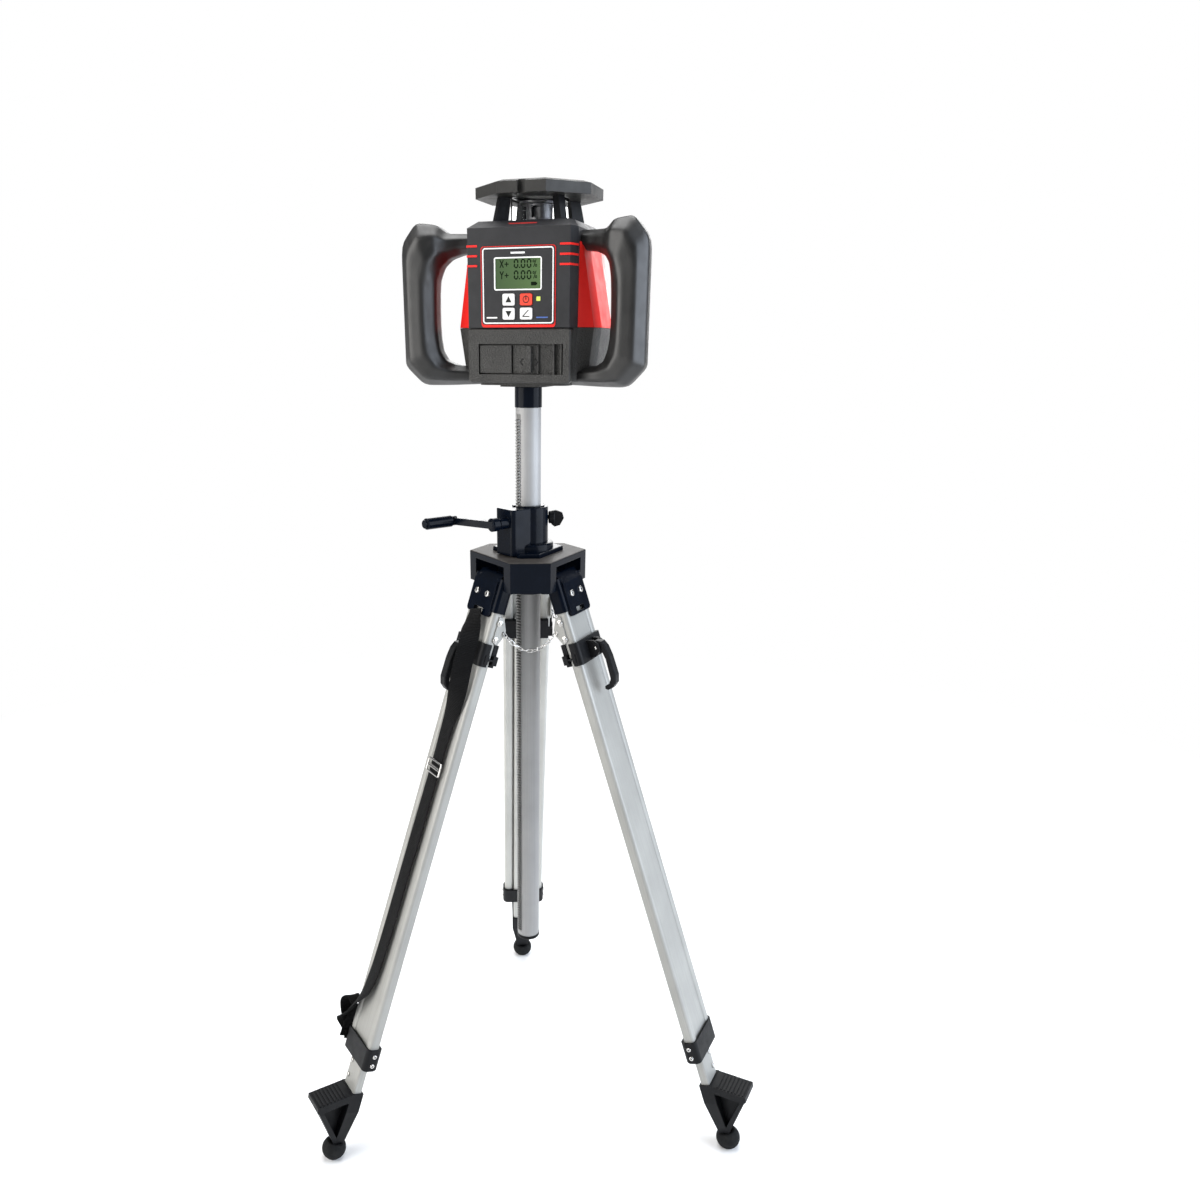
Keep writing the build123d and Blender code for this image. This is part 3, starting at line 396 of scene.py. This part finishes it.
BY_NODE = {
    "column_bushes": "gloss_black",
    "crank_grip": "gloss_black",
    "rotor_head": "rotor_satin",
    "top_cap": "cap_grey",
}
for leg_name in LEG_AZIMUTHS:
    BY_NODE[f"upper_leg_{leg_name}"] = f"anodised_{leg_name}"
    BY_NODE[f"lower_leg_{leg_name}"] = f"anodised_{leg_name}"
    BY_NODE[f"foot_ball_{leg_name}"] = "foot_rubber"
for row in frame["record"]["subparts"]:
    node = frame["nodes"][row["node"]]
    node.data.materials.clear()
    node.data.materials.append(LOOKS[BY_NODE.get(row["node"], row["material_slot"])])


# ---- mesh building ------------------------------------------------------------------------------
def piece(name, mesh, look, body, smooth=True):
    """A finished mesh as a shown piece that rides on a body."""
    data = bpy.data.meshes.new(name)
    bmesh.ops.recalc_face_normals(mesh, faces=mesh.faces)
    mesh.to_mesh(data)
    mesh.free()
    for polygon in data.polygons:
        polygon.use_smooth = smooth
    made = bpy.data.objects.new(name, data)
    bpy.context.scene.collection.objects.link(made)
    data.materials.append(LOOKS[look])
    if smooth:
        data.set_sharp_from_angle(angle=radians(38))
    if body:
        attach(made, body)
    return made


def grid_faces(mesh, rings, closed_ring=True, closed_path=False, caps=False):
    """Quads between successive rings of vertices, which all have as many points."""
    faces = []
    count = len(rings[0])
    pairs = list(zip(rings, rings[1:])) + ([(rings[-1], rings[0])] if closed_path else [])
    for first, second in pairs:
        for i in range(count if closed_ring else count - 1):
            j = (i + 1) % count
            faces.append(mesh.faces.new((first[i], first[j], second[j], second[i])))
    if caps:
        mesh.faces.new(list(reversed(rings[0])))
        mesh.faces.new(rings[-1])
    return faces


def turned_rings(mesh, profile, place, segments=24):
    """Rings of vertices at (radius, height) points about the Z of place."""
    rings = []
    for radius, height in profile:
        ring = []
        for i in range(segments):
            angle = 2 * pi * i / segments
            point = Vector((radius * cos(angle), radius * sin(angle), height))
            ring.append(mesh.verts.new(place @ point))
        rings.append(ring)
    return rings


def lathe(mesh, profile, place):
    """Closed solid turned from (radius, height) points about the Z of place."""
    grid_faces(mesh, turned_rings(mesh, profile, place), caps=True)


def tube(mesh, points, radius, sides=8, closed=False):
    """Round bar along points, which are already placed and in metres."""
    count = len(points)
    rings = []
    up = None
    for i, point in enumerate(points):
        ahead = points[(i + 1) % count] if closed or i + 1 < count else point
        behind = points[i - 1] if closed or i else point
        along = (ahead - behind).normalized()
        if up is None:
            up = along.orthogonal()
        up = (up - along * up.dot(along)).normalized()
        side = along.cross(up)
        rings.append([
            mesh.verts.new(point + (up * cos(2 * pi * k / sides) + side * sin(2 * pi * k / sides)) * radius)
            for k in range(sides)])
    grid_faces(mesh, rings, closed_path=closed, caps=not closed)


def plate(mesh, outline, place, low, high, bevel=0.0):
    """Flat outline raised from low to high along the Z of place, with a softened top edge."""
    centre = Vector((sum(p[0] for p in outline), sum(p[1] for p in outline))) / len(outline)
    rings = []
    for height in (low, high - bevel):
        rings.append([mesh.verts.new(place @ Vector((x, y, height))) for x, y in outline])
    if bevel:
        ring = []
        for x, y in outline:
            inward = (centre - Vector((x, y))).normalized() * bevel
            ring.append(mesh.verts.new(place @ Vector((x + inward.x, y + inward.y, high))))
        rings.append(ring)
    grid_faces(mesh, rings, caps=True)


def rounded_outline(width, height, radius, x=0.0, y=0.0, steps=5):
    """Rectangle about (x, y) with round corners, as points."""
    points = []
    for cx, cy, start in ((1, 1, 0), (-1, 1, 90), (-1, -1, 180), (1, -1, 270)):
        for k in range(steps + 1):
            angle = radians(start + 90 * k / steps)
            points.append((x + cx * (width / 2 - radius) + radius * cos(angle),
                           y + cy * (height / 2 - radius) + radius * sin(angle)))
    return points


def frame_line(mesh, width, height, radius, line, place, low, high, x=0.0, y=0.0):
    """Closed rounded line of constant width, as a printed border."""
    outer = rounded_outline(width, height, radius, x, y)
    inner = rounded_outline(width - 2 * line, height - 2 * line, max(radius - line, 0.3), x, y)
    rings = []
    for outline, level in ((outer, low), (outer, high), (inner, high), (inner, low)):
        rings.append([mesh.verts.new(place @ Vector((px, py, level))) for px, py in outline])
    grid_faces(mesh, rings, closed_path=True)


def cross_head(mesh, place, radius, height, arm=0.62, width=0.16, depth=0.5):
    """Pan-head screw with a cross recess; place puts its seat at z 0."""
    rim = [(radius, 0.0), (radius, height * 0.45), (radius * 0.93, height * 0.8), (radius * 0.78, height)]
    rings = turned_rings(mesh, rim, place)
    grid_faces(mesh, rings)
    a, w = arm * radius, width * radius
    cross = [
        (a, -w), (a, w), (w, w), (w, a), (-w, a), (-w, w),
        (-a, w), (-a, -w), (-w, -w), (-w, -a), (w, -a), (w, -w),
    ]
    top = [mesh.verts.new(place @ Vector((x, y, height))) for x, y in cross]
    floor = [mesh.verts.new(place @ Vector((x * 0.8, y * 0.8, height * (1 - depth)))) for x, y in cross]
    grid_faces(mesh, [top, floor])
    mesh.faces.new(floor)
    edges = []
    for loop in (rings[-1], top):
        for i in range(len(loop)):
            edges.append(mesh.edges.get((loop[i], loop[(i + 1) % len(loop)])))
    bmesh.ops.triangle_fill(mesh, use_beauty=True, edges=edges)


def rivet(mesh, place, radius=3.3, height=1.9, washer=4.2):
    """Domed rivet on a thin washer."""
    rim = [(washer, 0.0), (washer, 0.35), (washer - 0.3, 0.5), (radius, 0.5)]
    dome = [(0.97, 0.6), (0.75, 0.88), (0.35, 1), (0.08, 1)]
    lathe(mesh, rim + [(radius * r, height * h) for r, h in dome], place)


# ---- screws and rivets --------------------------------------------------------------------------
def leg_screws(name):
    """Bracket screws, chain-plate rivets and collar screws of one leg."""
    place = leg_frame(name)
    mesh = bmesh.new()
    for side in (-1, 1):
        seat = (side * BRACKET_SCREW_SIDE, PLATE_OUT, -BRACKET_SCREW_DEPTH)
        cross_head(mesh, place @ facing(seat, (0, 1, 0), 0.5 * side), 4.3, 2.2)
        for depth in RIVET_DEPTHS:
            rivet(mesh, place @ facing((side * RIVET_FACE, RIVET_LINE, -depth), (side, 0, 0)))
        for depth in COLLAR_SCREW_DEPTHS:
            cross_head(mesh, place @ facing((side * COLLAR_FACE, -1, -depth), (side, 0, 0), 0.3), 3.2, 1.7)
    piece(f"leg_screws_{name}", mesh, "bright_chrome", f"leg_{name}")


def foot_screws(name):
    """Ends of the clamp's pin and the screws on the sliding tube."""
    place = leg_frame(name)
    screw_side = -1 if name == "right" else 1
    pin_x, pin_y, pin_depth = CLAMP_PIN
    mesh = bmesh.new()
    for side in (-1, 1):
        lathe(mesh, PIN_END, place @ facing((side * pin_x, pin_y, -pin_depth), (side, 0, 0)))
    for depth in FOOT_SCREW_DEPTHS:
        cross_head(mesh, place @ facing((screw_side * 10, 3.5, -depth), (0, 1, 0), 0.4), 3.4, 1.9)
    piece(f"foot_screws_{name}", mesh, "bright_chrome", f"foot_{name}")


def leg_hardware():
    for name in LEG_AZIMUTHS:
        leg_screws(name)
        foot_screws(name)


leg_hardware()


# ---- spreader chains ----------------------------------------------------------------------------
def chain_link(mesh, centre, along, side, length=9.2, width=5.6, wire=0.75):
    """One welded link: a stadium in the plane of along and side."""
    straight = (length - width) / 2
    bend = width / 2 - wire
    points = []
    for k in range(16):
        angle = 2 * pi * k / 16
        shift = straight if cos(angle) > 0 else -straight
        points.append(centre + along * ((shift + bend * cos(angle)) * MM) + side * (bend * sin(angle) * MM))
    tube(mesh, points, wire * MM, sides=6, closed=True)


def chain_path(first, second, steps=400):
    """Points along one chain's sag and the length of chain up to each."""
    x, y, z = CHAIN_ANCHOR
    start = leg_frame(first) @ Vector((-x, y, z))
    end = leg_frame(second) @ Vector((x, y, z))
    points = []
    for k in range(steps + 1):
        t = k / steps
        points.append(start + (end - start) * t + Vector((0, 0, -4 * CHAIN_DROP * t * (1 - t))))
    reach = [0.0]
    for a, b in zip(points, points[1:]):
        reach.append(reach[-1] + (b - a).length)
    return points, reach


def chains(pitch=6.9):
    """Each chain in two halves, the links nearer each leg in their own piece."""
    for first, second in (("left", "right"), ("right", "back"), ("back", "left")):
        points, reach = chain_path(first, second)
        count = round(reach[-1] / (pitch * MM))
        halves = [bmesh.new(), bmesh.new()]
        for k in range(count):
            wanted = reach[-1] * (k + 0.5) / count
            index = min(range(len(points) - 1), key=lambda i: abs(reach[i] - wanted))
            along = (points[index + 1] - points[index]).normalized()
            level = along.cross(Vector((0, 0, 1))).normalized()
            upright = level.cross(along)
            lean = radians(38 if k % 2 else -46) + 0.25 * sin(k * 2.1)
            side = level * cos(lean) + upright * sin(lean)
            chain_link(halves[0 if k < count / 2 else 1], points[index], along, side)
        for half, (leg, near) in enumerate(((first, points[0]), (second, points[-1]))):
            name = f"chain_{first}_{second}_{half}"
            made = piece(name, halves[half], "bright_chrome", None)
            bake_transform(made)
            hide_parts("spreader_chains")


chains()


# ---- carry strap --------------------------------------------------------------------------------
STRAP_WIDTH = 25
STRAP_THICKNESS = 1.9
FOLD_WIDTH = 22
FOLD_THICKNESS = 1.8
BUCKLE = (-3, 13.4, -258)        # its middle in the leg's frame
BUCKLE_WIDTH = 34
# X, Y, depth down the leg and lean in degrees along the strap's middle
STRAP = [
    (0, 15.5, 40, 0), (-2.5, 16.5, 49, 6), (-6, 18.5, 58, 15), (-14, 22.5, 70, 42), (-21, 25.5, 82, 60),
    (-22.2, 26, 97, 62), (-22, 25.5, 112, 60), (-21.6, 23.5, 131, 53), (-19.5, 20.5, 150, 42),
    (-13.5, 15.8, 170, 24), (-7, 12.8, 190, 8), (-3.6, 11.4, 215, 2), (-3, 11, 240, 0), (-2.6, 11.2, 300, 0),
    (-1.6, 11, 360, 1), (-0.6, 11.3, 420, -1), (0.4, 11, 480, 0), (2.0, 11.2, 530, -1), (5, 11.5, 566, -4),
    (10, 12.5, 590, -10), (21, 14.6, 612, -34), (29, 15, 627, -50), (34, 15.2, 640, -58),
]


def smooth_path(stations, steps):
    """Catmull-Rom points through the stations, as tuples."""
    path = []
    last = len(stations) - 1
    for i in range(last):
        a, b, c, d = (stations[max(0, min(last, i + k))] for k in (-1, 0, 1, 2))
        for step in range(steps):
            t = step / steps
            path.append(tuple(
                0.5 * (2 * q + (r - p) * t + (2 * p - 5 * q + 4 * r - s) * t * t
                       + (3 * q - p - 3 * r + s) * t ** 3)
                for p, q, r, s in zip(a, b, c, d)))
    path.append(stations[-1])
    return path


def ribbon(mesh, path, width, thickness, place, uv, ripple=0.0):
    """Closed flat band along (x, y, depth, lean) points of a leg frame, with its selvedges rounded."""
    lanes = 8
    rings = []
    run = 0.0
    runs = []
    points = [Vector((x, y, -s)) for x, y, s, _ in path]
    for i, (point, station) in enumerate(zip(points, path)):
        along = (points[min(i + 1, len(points) - 1)] - points[max(i - 1, 0)]).normalized()
        lean = radians(station[3])
        across = Vector((cos(lean), sin(lean), 0))
        across = (across - along * across.dot(along)).normalized()
        out = along.cross(across)
        run += (point - points[i - 1]).length if i else 0.0
        runs.append(run)
        ring = []
        for face in (1, -1):
            for k in range(lanes + 1):
                t = (k / lanes if face > 0 else 1 - k / lanes) * 2 - 1
                rim = 1 if abs(t) < 0.99 else 0.45
                crown = ripple * (1 - t * t) * sin(run / 23)
                offset = across * (t * width / 2) + out * (face * thickness / 2 * rim + crown)
                ring.append(mesh.verts.new(place @ (point + offset)))
        rings.append(ring)
    faces = grid_faces(mesh, rings, caps=True)
    count = len(rings[0])
    for index, face in enumerate(faces):
        i, k = divmod(index, count)
        lane = [k, k + 1, k + 1, k]
        row = [i, i, i + 1, i + 1]
        for loop, a, b in zip(face.loops, lane, row):
            side = a if a <= lanes else 2 * lanes + 1 - a
            loop[uv].uv = (width * side / lanes, runs[b])


def carry_strap():
    """Long webbing, its folded end on the collar and the slide buckle, on the left leg."""
    place = leg_frame("left")
    mesh = bmesh.new()
    uv = mesh.loops.layers.uv.new("weave")
    ribbon(mesh, smooth_path(STRAP, 5), STRAP_WIDTH, STRAP_THICKNESS, place, uv, ripple=0.35)
    strap = piece("strap_long", mesh, "webbing", "leg_left")
    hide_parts("carry_strap")

    mesh = bmesh.new()
    uv = mesh.loops.layers.uv.new("weave")
    loops = [
        [(31, 10, 627, -60), (39, 14, 619, -75), (45, 17, 627, -90), (46, 12, 643, -96), (44, 5, 660, -88),
         (41, -1, 676, -80), (39, -6, 689, -78)],
        [(34, 14, 638, -58), (41, 16, 648, -70), (48.5, 13, 658, -92), (49, 5, 668, -100), (44, -1, 678, -92),
         (40, -2, 688, -86)],
        [(37, 2, 632, -92), (39.5, 3, 650, -88), (41.5, 5, 668, -84), (40.5, 7, 684, -80)],
    ]
    for loop in loops:
        ribbon(mesh, smooth_path(loop, 6), FOLD_WIDTH, FOLD_THICKNESS, place, uv, ripple=0.5)
    folds = piece("strap_folds", mesh, "webbing", "leg_left")

    mesh = bmesh.new()
    buckle_x, buckle_y, buckle_z = BUCKLE
    for height, corner, bar in ((17, 2.2, 1.3), (2.4, 1.1, 1.1)):
        outline = rounded_outline(BUCKLE_WIDTH, height, corner, buckle_x, buckle_z)
        points = [place @ Vector((x, buckle_y, z)) for x, z in outline]
        tube(mesh, points, bar * MM, closed=True)
    piece("strap_buckle", mesh, "bright_chrome", "leg_left")
    for soft in (strap, folds):
        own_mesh(soft)


carry_strap()


# ---- laser: handles -----------------------------------------------------------------------------
# inner X and Z, outer X and Z, front and back Y at stations from the shoulder round to the foot
HANDLE = [
    (62, 1198, 62, 1219, -26, 8),
    (82, 1196.5, 82, 1219, -30, 6),
    (96, 1191, 97, 1219, -40, 2),
    (103, 1182, 108, 1228, -50, -4),
    (106.5, 1168, 131, 1230.5, -56, -9),
    (107.5, 1150, 150, 1207, -57, -10),
    (108, 1120, 150, 1145, -57, -10),
    (107, 1102, 150, 1088, -57, -10),
    (104.5, 1088, 150, 1070, -57, -10),
    (99, 1077, 128, 1048, -52, -6),
    (88, 1071.5, 98, 1048, -41, 1),
    (56, 1070, 56, 1049.5, -28, 6),
]
# corners of the handle's section, as shares of its width outward and of its depth backward
HANDLE_SECTION = [(0, 0.3), (0.28, 0), (0.72, 0), (1, 0.3), (1, 0.7), (0.72, 1), (0.28, 1), (0, 0.7)]


def softened(stations, steps, passes, closed=False):
    """Straight runs between the stations, in equal steps, with their corners worn round."""
    path = []
    ends = stations[1:] + (stations[:1] if closed else [])
    for first, second in zip(stations, ends):
        for step in range(steps):
            path.append(tuple(a + (b - a) * step / steps for a, b in zip(first, second)))
    if not closed:
        path.append(stations[-1])
    for _ in range(passes):
        before = path[-1:] + path[:-1]
        after = path[1:] + path[:1]
        worn = [tuple((a + 2 * b + c) / 4 for a, b, c in zip(*three)) for three in zip(before, path, after)]
        path = worn if closed else [path[0]] + worn[1:-1] + [path[-1]]
    return path


def handles():
    """Soft rubber handles: an eight-sided section with soft corners, along a path with soft bends."""
    section = softened(HANDLE_SECTION, 6, 1, closed=True)
    for name, side in (("left", -1), ("right", 1)):
        mesh = bmesh.new()
        rings = []
        for inner_x, inner_z, outer_x, outer_z, front, back in softened(HANDLE, 6, 2):
            ring = []
            for across, depth in section:
                x = inner_x + (outer_x - inner_x) * across
                z = inner_z + (outer_z - inner_z) * across
                y = front + (back - front) * depth
                ring.append(mesh.verts.new(LASER @ Vector((side * x, y, z))))
            rings.append(ring)
        grid_faces(mesh, rings, caps=True)
        made = piece(f"handle_{name}", mesh, "rubber_black", "laser")
        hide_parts("carry_handles")


handles()


# ---- laser: display, keys and marks -------------------------------------------------------------
def front_place(level):
    """Frame on the laser's front: X right, Y up, Z towards the user, at a depth."""
    turn = Matrix(((1, 0, 0, 0), (0, 0, -1, level), (0, 1, 0, 0), (0, 0, 0, 1)))
    return LASER @ turn


DIGIT_WIDTH = 4.1
DIGIT_HEIGHT = 8.2
# each bar's place in half widths and half heights, and whether it lies level
SEGMENTS = {
    "a": (0, 1, True), "b": (1, 0.5, False), "c": (1, -0.5, False), "d": (0, -1, True),
    "e": (-1, -0.5, False), "f": (-1, 0.5, False), "g": (0, 0, True),
}


def seven_segment(mesh, place, x, y, width, height, lit, thick=1.6, high=0.05):
    """One digit of bevelled bars."""
    for key in lit:
        sx, sy, level = SEGMENTS[key]
        cx, cy = x + sx * width / 2, y + sy * height / 2
        half = (width if level else height / 2) / 2 - 0.15
        thin = thick / 2
        bar = [
            (-half, 0), (-half + thin, -thin), (half - thin, -thin),
            (half, 0), (half - thin, thin), (-half + thin, thin),
        ]
        outline = [(cx + (a if level else b), cy + (b if level else a)) for a, b in bar]
        if not level:
            outline.reverse()
        plate(mesh, outline, place, 0.0, high)


def box_outline(x, y, width, height):
    """Small block with slightly round corners."""
    return rounded_outline(width, height, min(width, height) * 0.2, x, y, steps=2)


def stroke(mesh, place, a, b, width, low=0.0, high=0.05):
    """Straight printed line between two points."""
    first, second = Vector(a), Vector(b)
    along = (second - first).normalized()
    side = Vector((-along.y, along.x)) * width / 2
    outline = [first - side, second - side, second + side, first + side]
    plate(mesh, [(p.x, p.y) for p in outline], place, low, high)


def percent_sign(mesh, place, x, y):
    """Slanted stroke between two rings."""
    stroke(mesh, place, (x - 1.5, y - 4.1), (x + 1.5, y + 4.1), 0.9)
    for dx, dy in ((-1.5, 2.3), (1.5, -2.3)):
        frame_line(mesh, 2.4, 3.0, 1.0, 0.8, place, 0, 0.05, x + dx, y + dy)


def display():
    """Two rows of figures, a battery sign, the printed borders and plain bars for the wording."""
    place = front_place(LCD_FACE - 0.02)
    mesh = bmesh.new()
    rows = (LCD_Z + 10.6, LCD_Z - 1.4)
    for y in rows:
        for x in (-2.2, 6.2, 13.4):
            seven_segment(mesh, place, x, y, DIGIT_WIDTH, DIGIT_HEIGHT, "abcdef")
        plate(mesh, box_outline(2.0, y - 4.0, 1.5, 1.5), place, 0, 0.05)
        stroke(mesh, place, (-16.2, y - 0.4), (-11.3, y - 0.4), 1.1)
        stroke(mesh, place, (-13.75, y - 2.8), (-13.75, y + 2.0), 1.1)
        percent_sign(mesh, place, 20.4, y)
    upper, lower = rows
    stroke(mesh, place, (-21.9, upper - 4.1), (-17.6, upper + 4.1), 1.2)
    stroke(mesh, place, (-17.6, upper - 4.1), (-21.9, upper + 4.1), 1.2)
    fork = (-19.75, lower)
    for end in ((-19.75, lower - 4.1), (-21.9, lower + 4.1), (-17.6, lower + 4.1)):
        stroke(mesh, place, fork, end, 1.2)
    plate(mesh, box_outline(19.0, LCD_Z - 10.8, 6.6, 4.0), place, 0, 0.05)
    plate(mesh, box_outline(22.8, LCD_Z - 10.8, 1.0, 2.0), place, 0, 0.05)
    piece("lcd_digits", mesh, "lcd_ink", "laser", smooth=False)

    place = front_place(PANEL_FACE - 0.01)
    mesh = bmesh.new()
    frame_line(mesh, 86.0, 81.2, 3.4, 1.3, place, 0, 0.12, 0, PANEL_Z)
    frame_line(mesh, 57.8, 35.2, 2.4, 1.4, place, -0.8, 0.15, 0, LCD_Z)
    stroke(mesh, place, (-8.5, 1194.0), (8.5, 1194.0), 1.9, 0, 0.08)
    stroke(mesh, place, (-38.5, 1125.0), (-25.5, 1125.0), 1.5, 0, 0.08)
    piece("panel_lines", mesh, "ink_white", "laser", smooth=False)

    mesh = bmesh.new()
    stroke(mesh, place, (22.5, 1125.0), (36.5, 1125.0), 1.3, 0, 0.08)
    piece("panel_bar", mesh, "ink_blue", "laser", smooth=False)

    mesh = bmesh.new()
    plate(mesh, rounded_outline(4.8, 4.8, 0.8, 25.0, 1145), place, -0.1, 0.5, bevel=0.25)
    piece("status_led", mesh, "led_lime", "laser")


def key_marks():
    """Printed signs on the four keys."""
    place = front_place(BUTTON_FACE - 0.01)
    triangle = [(-3.8, -3.0), (3.8, -3.0), (0, 3.7)]
    for name, y, turn in (("up", 1144.4, 1), ("down", 1129.2, -1)):
        outline = [(a - 11, y + b * turn) for a, b in triangle][::turn]
        mesh = bmesh.new()
        plate(mesh, outline, place, 0, 0.1)
        piece(f"mark_{name}", mesh, "ink_dark", f"button_{name}", smooth=False)
    mesh = bmesh.new()
    stroke(mesh, place, (6.2, 1126.0), (14.6, 1126.0), 1.0, 0, 0.1)
    stroke(mesh, place, (6.2, 1126.0), (13.4, 1133.2), 1.0, 0, 0.1)
    piece("mark_slope", mesh, "ink_dark", "button_slope", smooth=False)
    mesh = bmesh.new()
    frame_line(mesh, 7.8, 7.8, 3.8, 0.9, place, 0, 0.1, 10.3, 1144.4)
    stroke(mesh, place, (10.3, 1144.0), (10.3, 1148.8), 1.0, 0, 0.12)
    piece("mark_power", mesh, "ink_dark", "button_power", smooth=False)


def roof_inlay():
    """Plain red inlay on the roof's front bevel."""
    (front, low), (back, high) = ROOF_SLOPE
    centre = (3.0, (front + back) / 2, (low + high) / 2)
    place = LASER @ facing(centre, (0, low - high, back - front))
    mesh = bmesh.new()
    plate(mesh, rounded_outline(34, 2.6, 1.0), place, -0.2, 0.25, bevel=0.1)
    piece("roof_inlay", mesh, "ink_red", "laser")


def latch_arrows():
    """Raised arrow heads each side of the latch's grip."""
    place = front_place(LATCH_FACE - 0.01)
    mesh = bmesh.new()
    for x, turn in ((3.5, -1), (21.0, 1)):
        tip = (x + turn * 2.2, 1076)
        for y in (1072, 1080):
            stroke(mesh, place, (x - turn * 1.2, y), tip, 0.8, -0.05, 0.35)
    piece("latch_arrows", mesh, "matte_black", "latch", smooth=False)


display()
key_marks()
roof_inlay()
latch_arrows()


# ---- floor, light and camera --------------------------------------------------------------------
def floor():
    """Large pale disc that fades to the backdrop's white far from the object."""
    mesh = bmesh.new()
    rings = []
    for radius in (0.4, 1.0, 2.0, 4.0, 8.0, 30.0):
        angles = [2 * pi * i / 96 for i in range(96)]
        rings.append([mesh.verts.new((radius * cos(angle), radius * sin(angle), 0)) for angle in angles])
    grid_faces(mesh, rings)
    mesh.faces.new(rings[0])
    data = bpy.data.meshes.new("floor")
    bmesh.ops.recalc_face_normals(mesh, faces=mesh.faces)
    mesh.to_mesh(data)
    mesh.free()
    ground = bpy.data.objects.new("floor", data)
    bpy.context.scene.collection.objects.link(ground)
    look = Look("floor_pale")
    distance = look.add("ShaderNodeVectorMath", operation="LENGTH")
    look.feed(distance, 0, look.place)
    fade = look.span(distance.outputs["Value"], 0.75, 2.3)
    look.set(Base_Color=(0.88, 0.88, 0.88), Roughness=0.9, Specular_IOR_Level=0.1)
    glow = look.add("ShaderNodeEmission")
    look.feed(glow, "Color", (1, 1, 1, 1))
    blend = look.add("ShaderNodeMixShader")
    output = next(node for node in look.tree.nodes if node.bl_idname == "ShaderNodeOutputMaterial")
    look.tree.links.new(fade, blend.inputs[0])
    look.tree.links.new(look.shader.outputs[0], blend.inputs[1])
    look.tree.links.new(glow.outputs[0], blend.inputs[2])
    look.tree.links.new(blend.outputs[0], output.inputs["Surface"])
    data.materials.append(look.material)


def soft_light(name, location, target, size, power, colour):
    """Rectangular area light that faces its target, with its size in metres and power in watts."""
    data = bpy.data.lights.new(name, "AREA")
    data.shape = "RECTANGLE"
    data.size, data.size_y = size
    data.energy = power
    data.color = colour
    lamp = bpy.data.objects.new(name, data)
    lamp.location = location
    lamp.rotation_euler = (Vector(target) - Vector(location)).to_track_quat("-Z", "Y").to_euler()
    bpy.context.scene.collection.objects.link(lamp)


def world():
    """White backdrop to the eye, a softer grey as light."""
    made = bpy.data.worlds.new("studio")
    bpy.context.scene.world = made
    made.use_nodes = True
    nodes, links = made.node_tree.nodes, made.node_tree.links
    nodes.clear()
    seen = nodes.new("ShaderNodeBackground")
    seen.inputs["Color"].default_value = (1, 1, 1, 1)
    lit = nodes.new("ShaderNodeBackground")
    lit.inputs["Color"].default_value = (0.20, 0.205, 0.215, 1)
    path = nodes.new("ShaderNodeLightPath")
    both = nodes.new("ShaderNodeMixShader")
    output = nodes.new("ShaderNodeOutputWorld")
    links.new(path.outputs["Is Camera Ray"], both.inputs[0])
    links.new(lit.outputs[0], both.inputs[1])
    links.new(seen.outputs[0], both.inputs[2])
    links.new(both.outputs[0], output.inputs["Surface"])


EYE = (-0.0448, -1.2830, 1.0951)  # metres
EYE_DOWN = 19.97                  # degrees under level
EYE_HEADING = -2
EYE_LENS = 29.565
EYE_SHIFT = (0.0597, 0.0858)


def camera():
    """Eye level with the laser, close to the tripod and looking down at its feet."""
    data = bpy.data.cameras.new("camera")
    data.lens = EYE_LENS
    data.sensor_width = 36
    data.shift_x, data.shift_y = EYE_SHIFT
    data.clip_end = 100
    eye = bpy.data.objects.new("camera", data)
    eye.location = EYE
    eye.rotation_euler = (radians(90 - EYE_DOWN), 0, radians(EYE_HEADING))
    bpy.context.scene.collection.objects.link(eye)
    bpy.context.scene.camera = eye


floor()
world()
camera()
soft_light("key_left", (-2.4, -0.9, 1.7), (0, 0, 0.9), (2.6, 3.0), 100, (1.0, 0.98, 0.95))
soft_light("fill_right", (2.4, -0.9, 1.5), (0, 0, 0.8), (2.6, 3.0), 120, (0.80, 0.88, 1.0))
soft_light("top", (0, 0.4, 3.4), (0, 0, 0), (2.4, 2.4), 90, (1, 1, 1))
soft_light("back", (0.4, 2.6, 1.8), (0, 0, 0.7), (2.4, 1.6), 50, (1, 1, 1))
bpy.context.scene.view_settings.view_transform = "Standard"
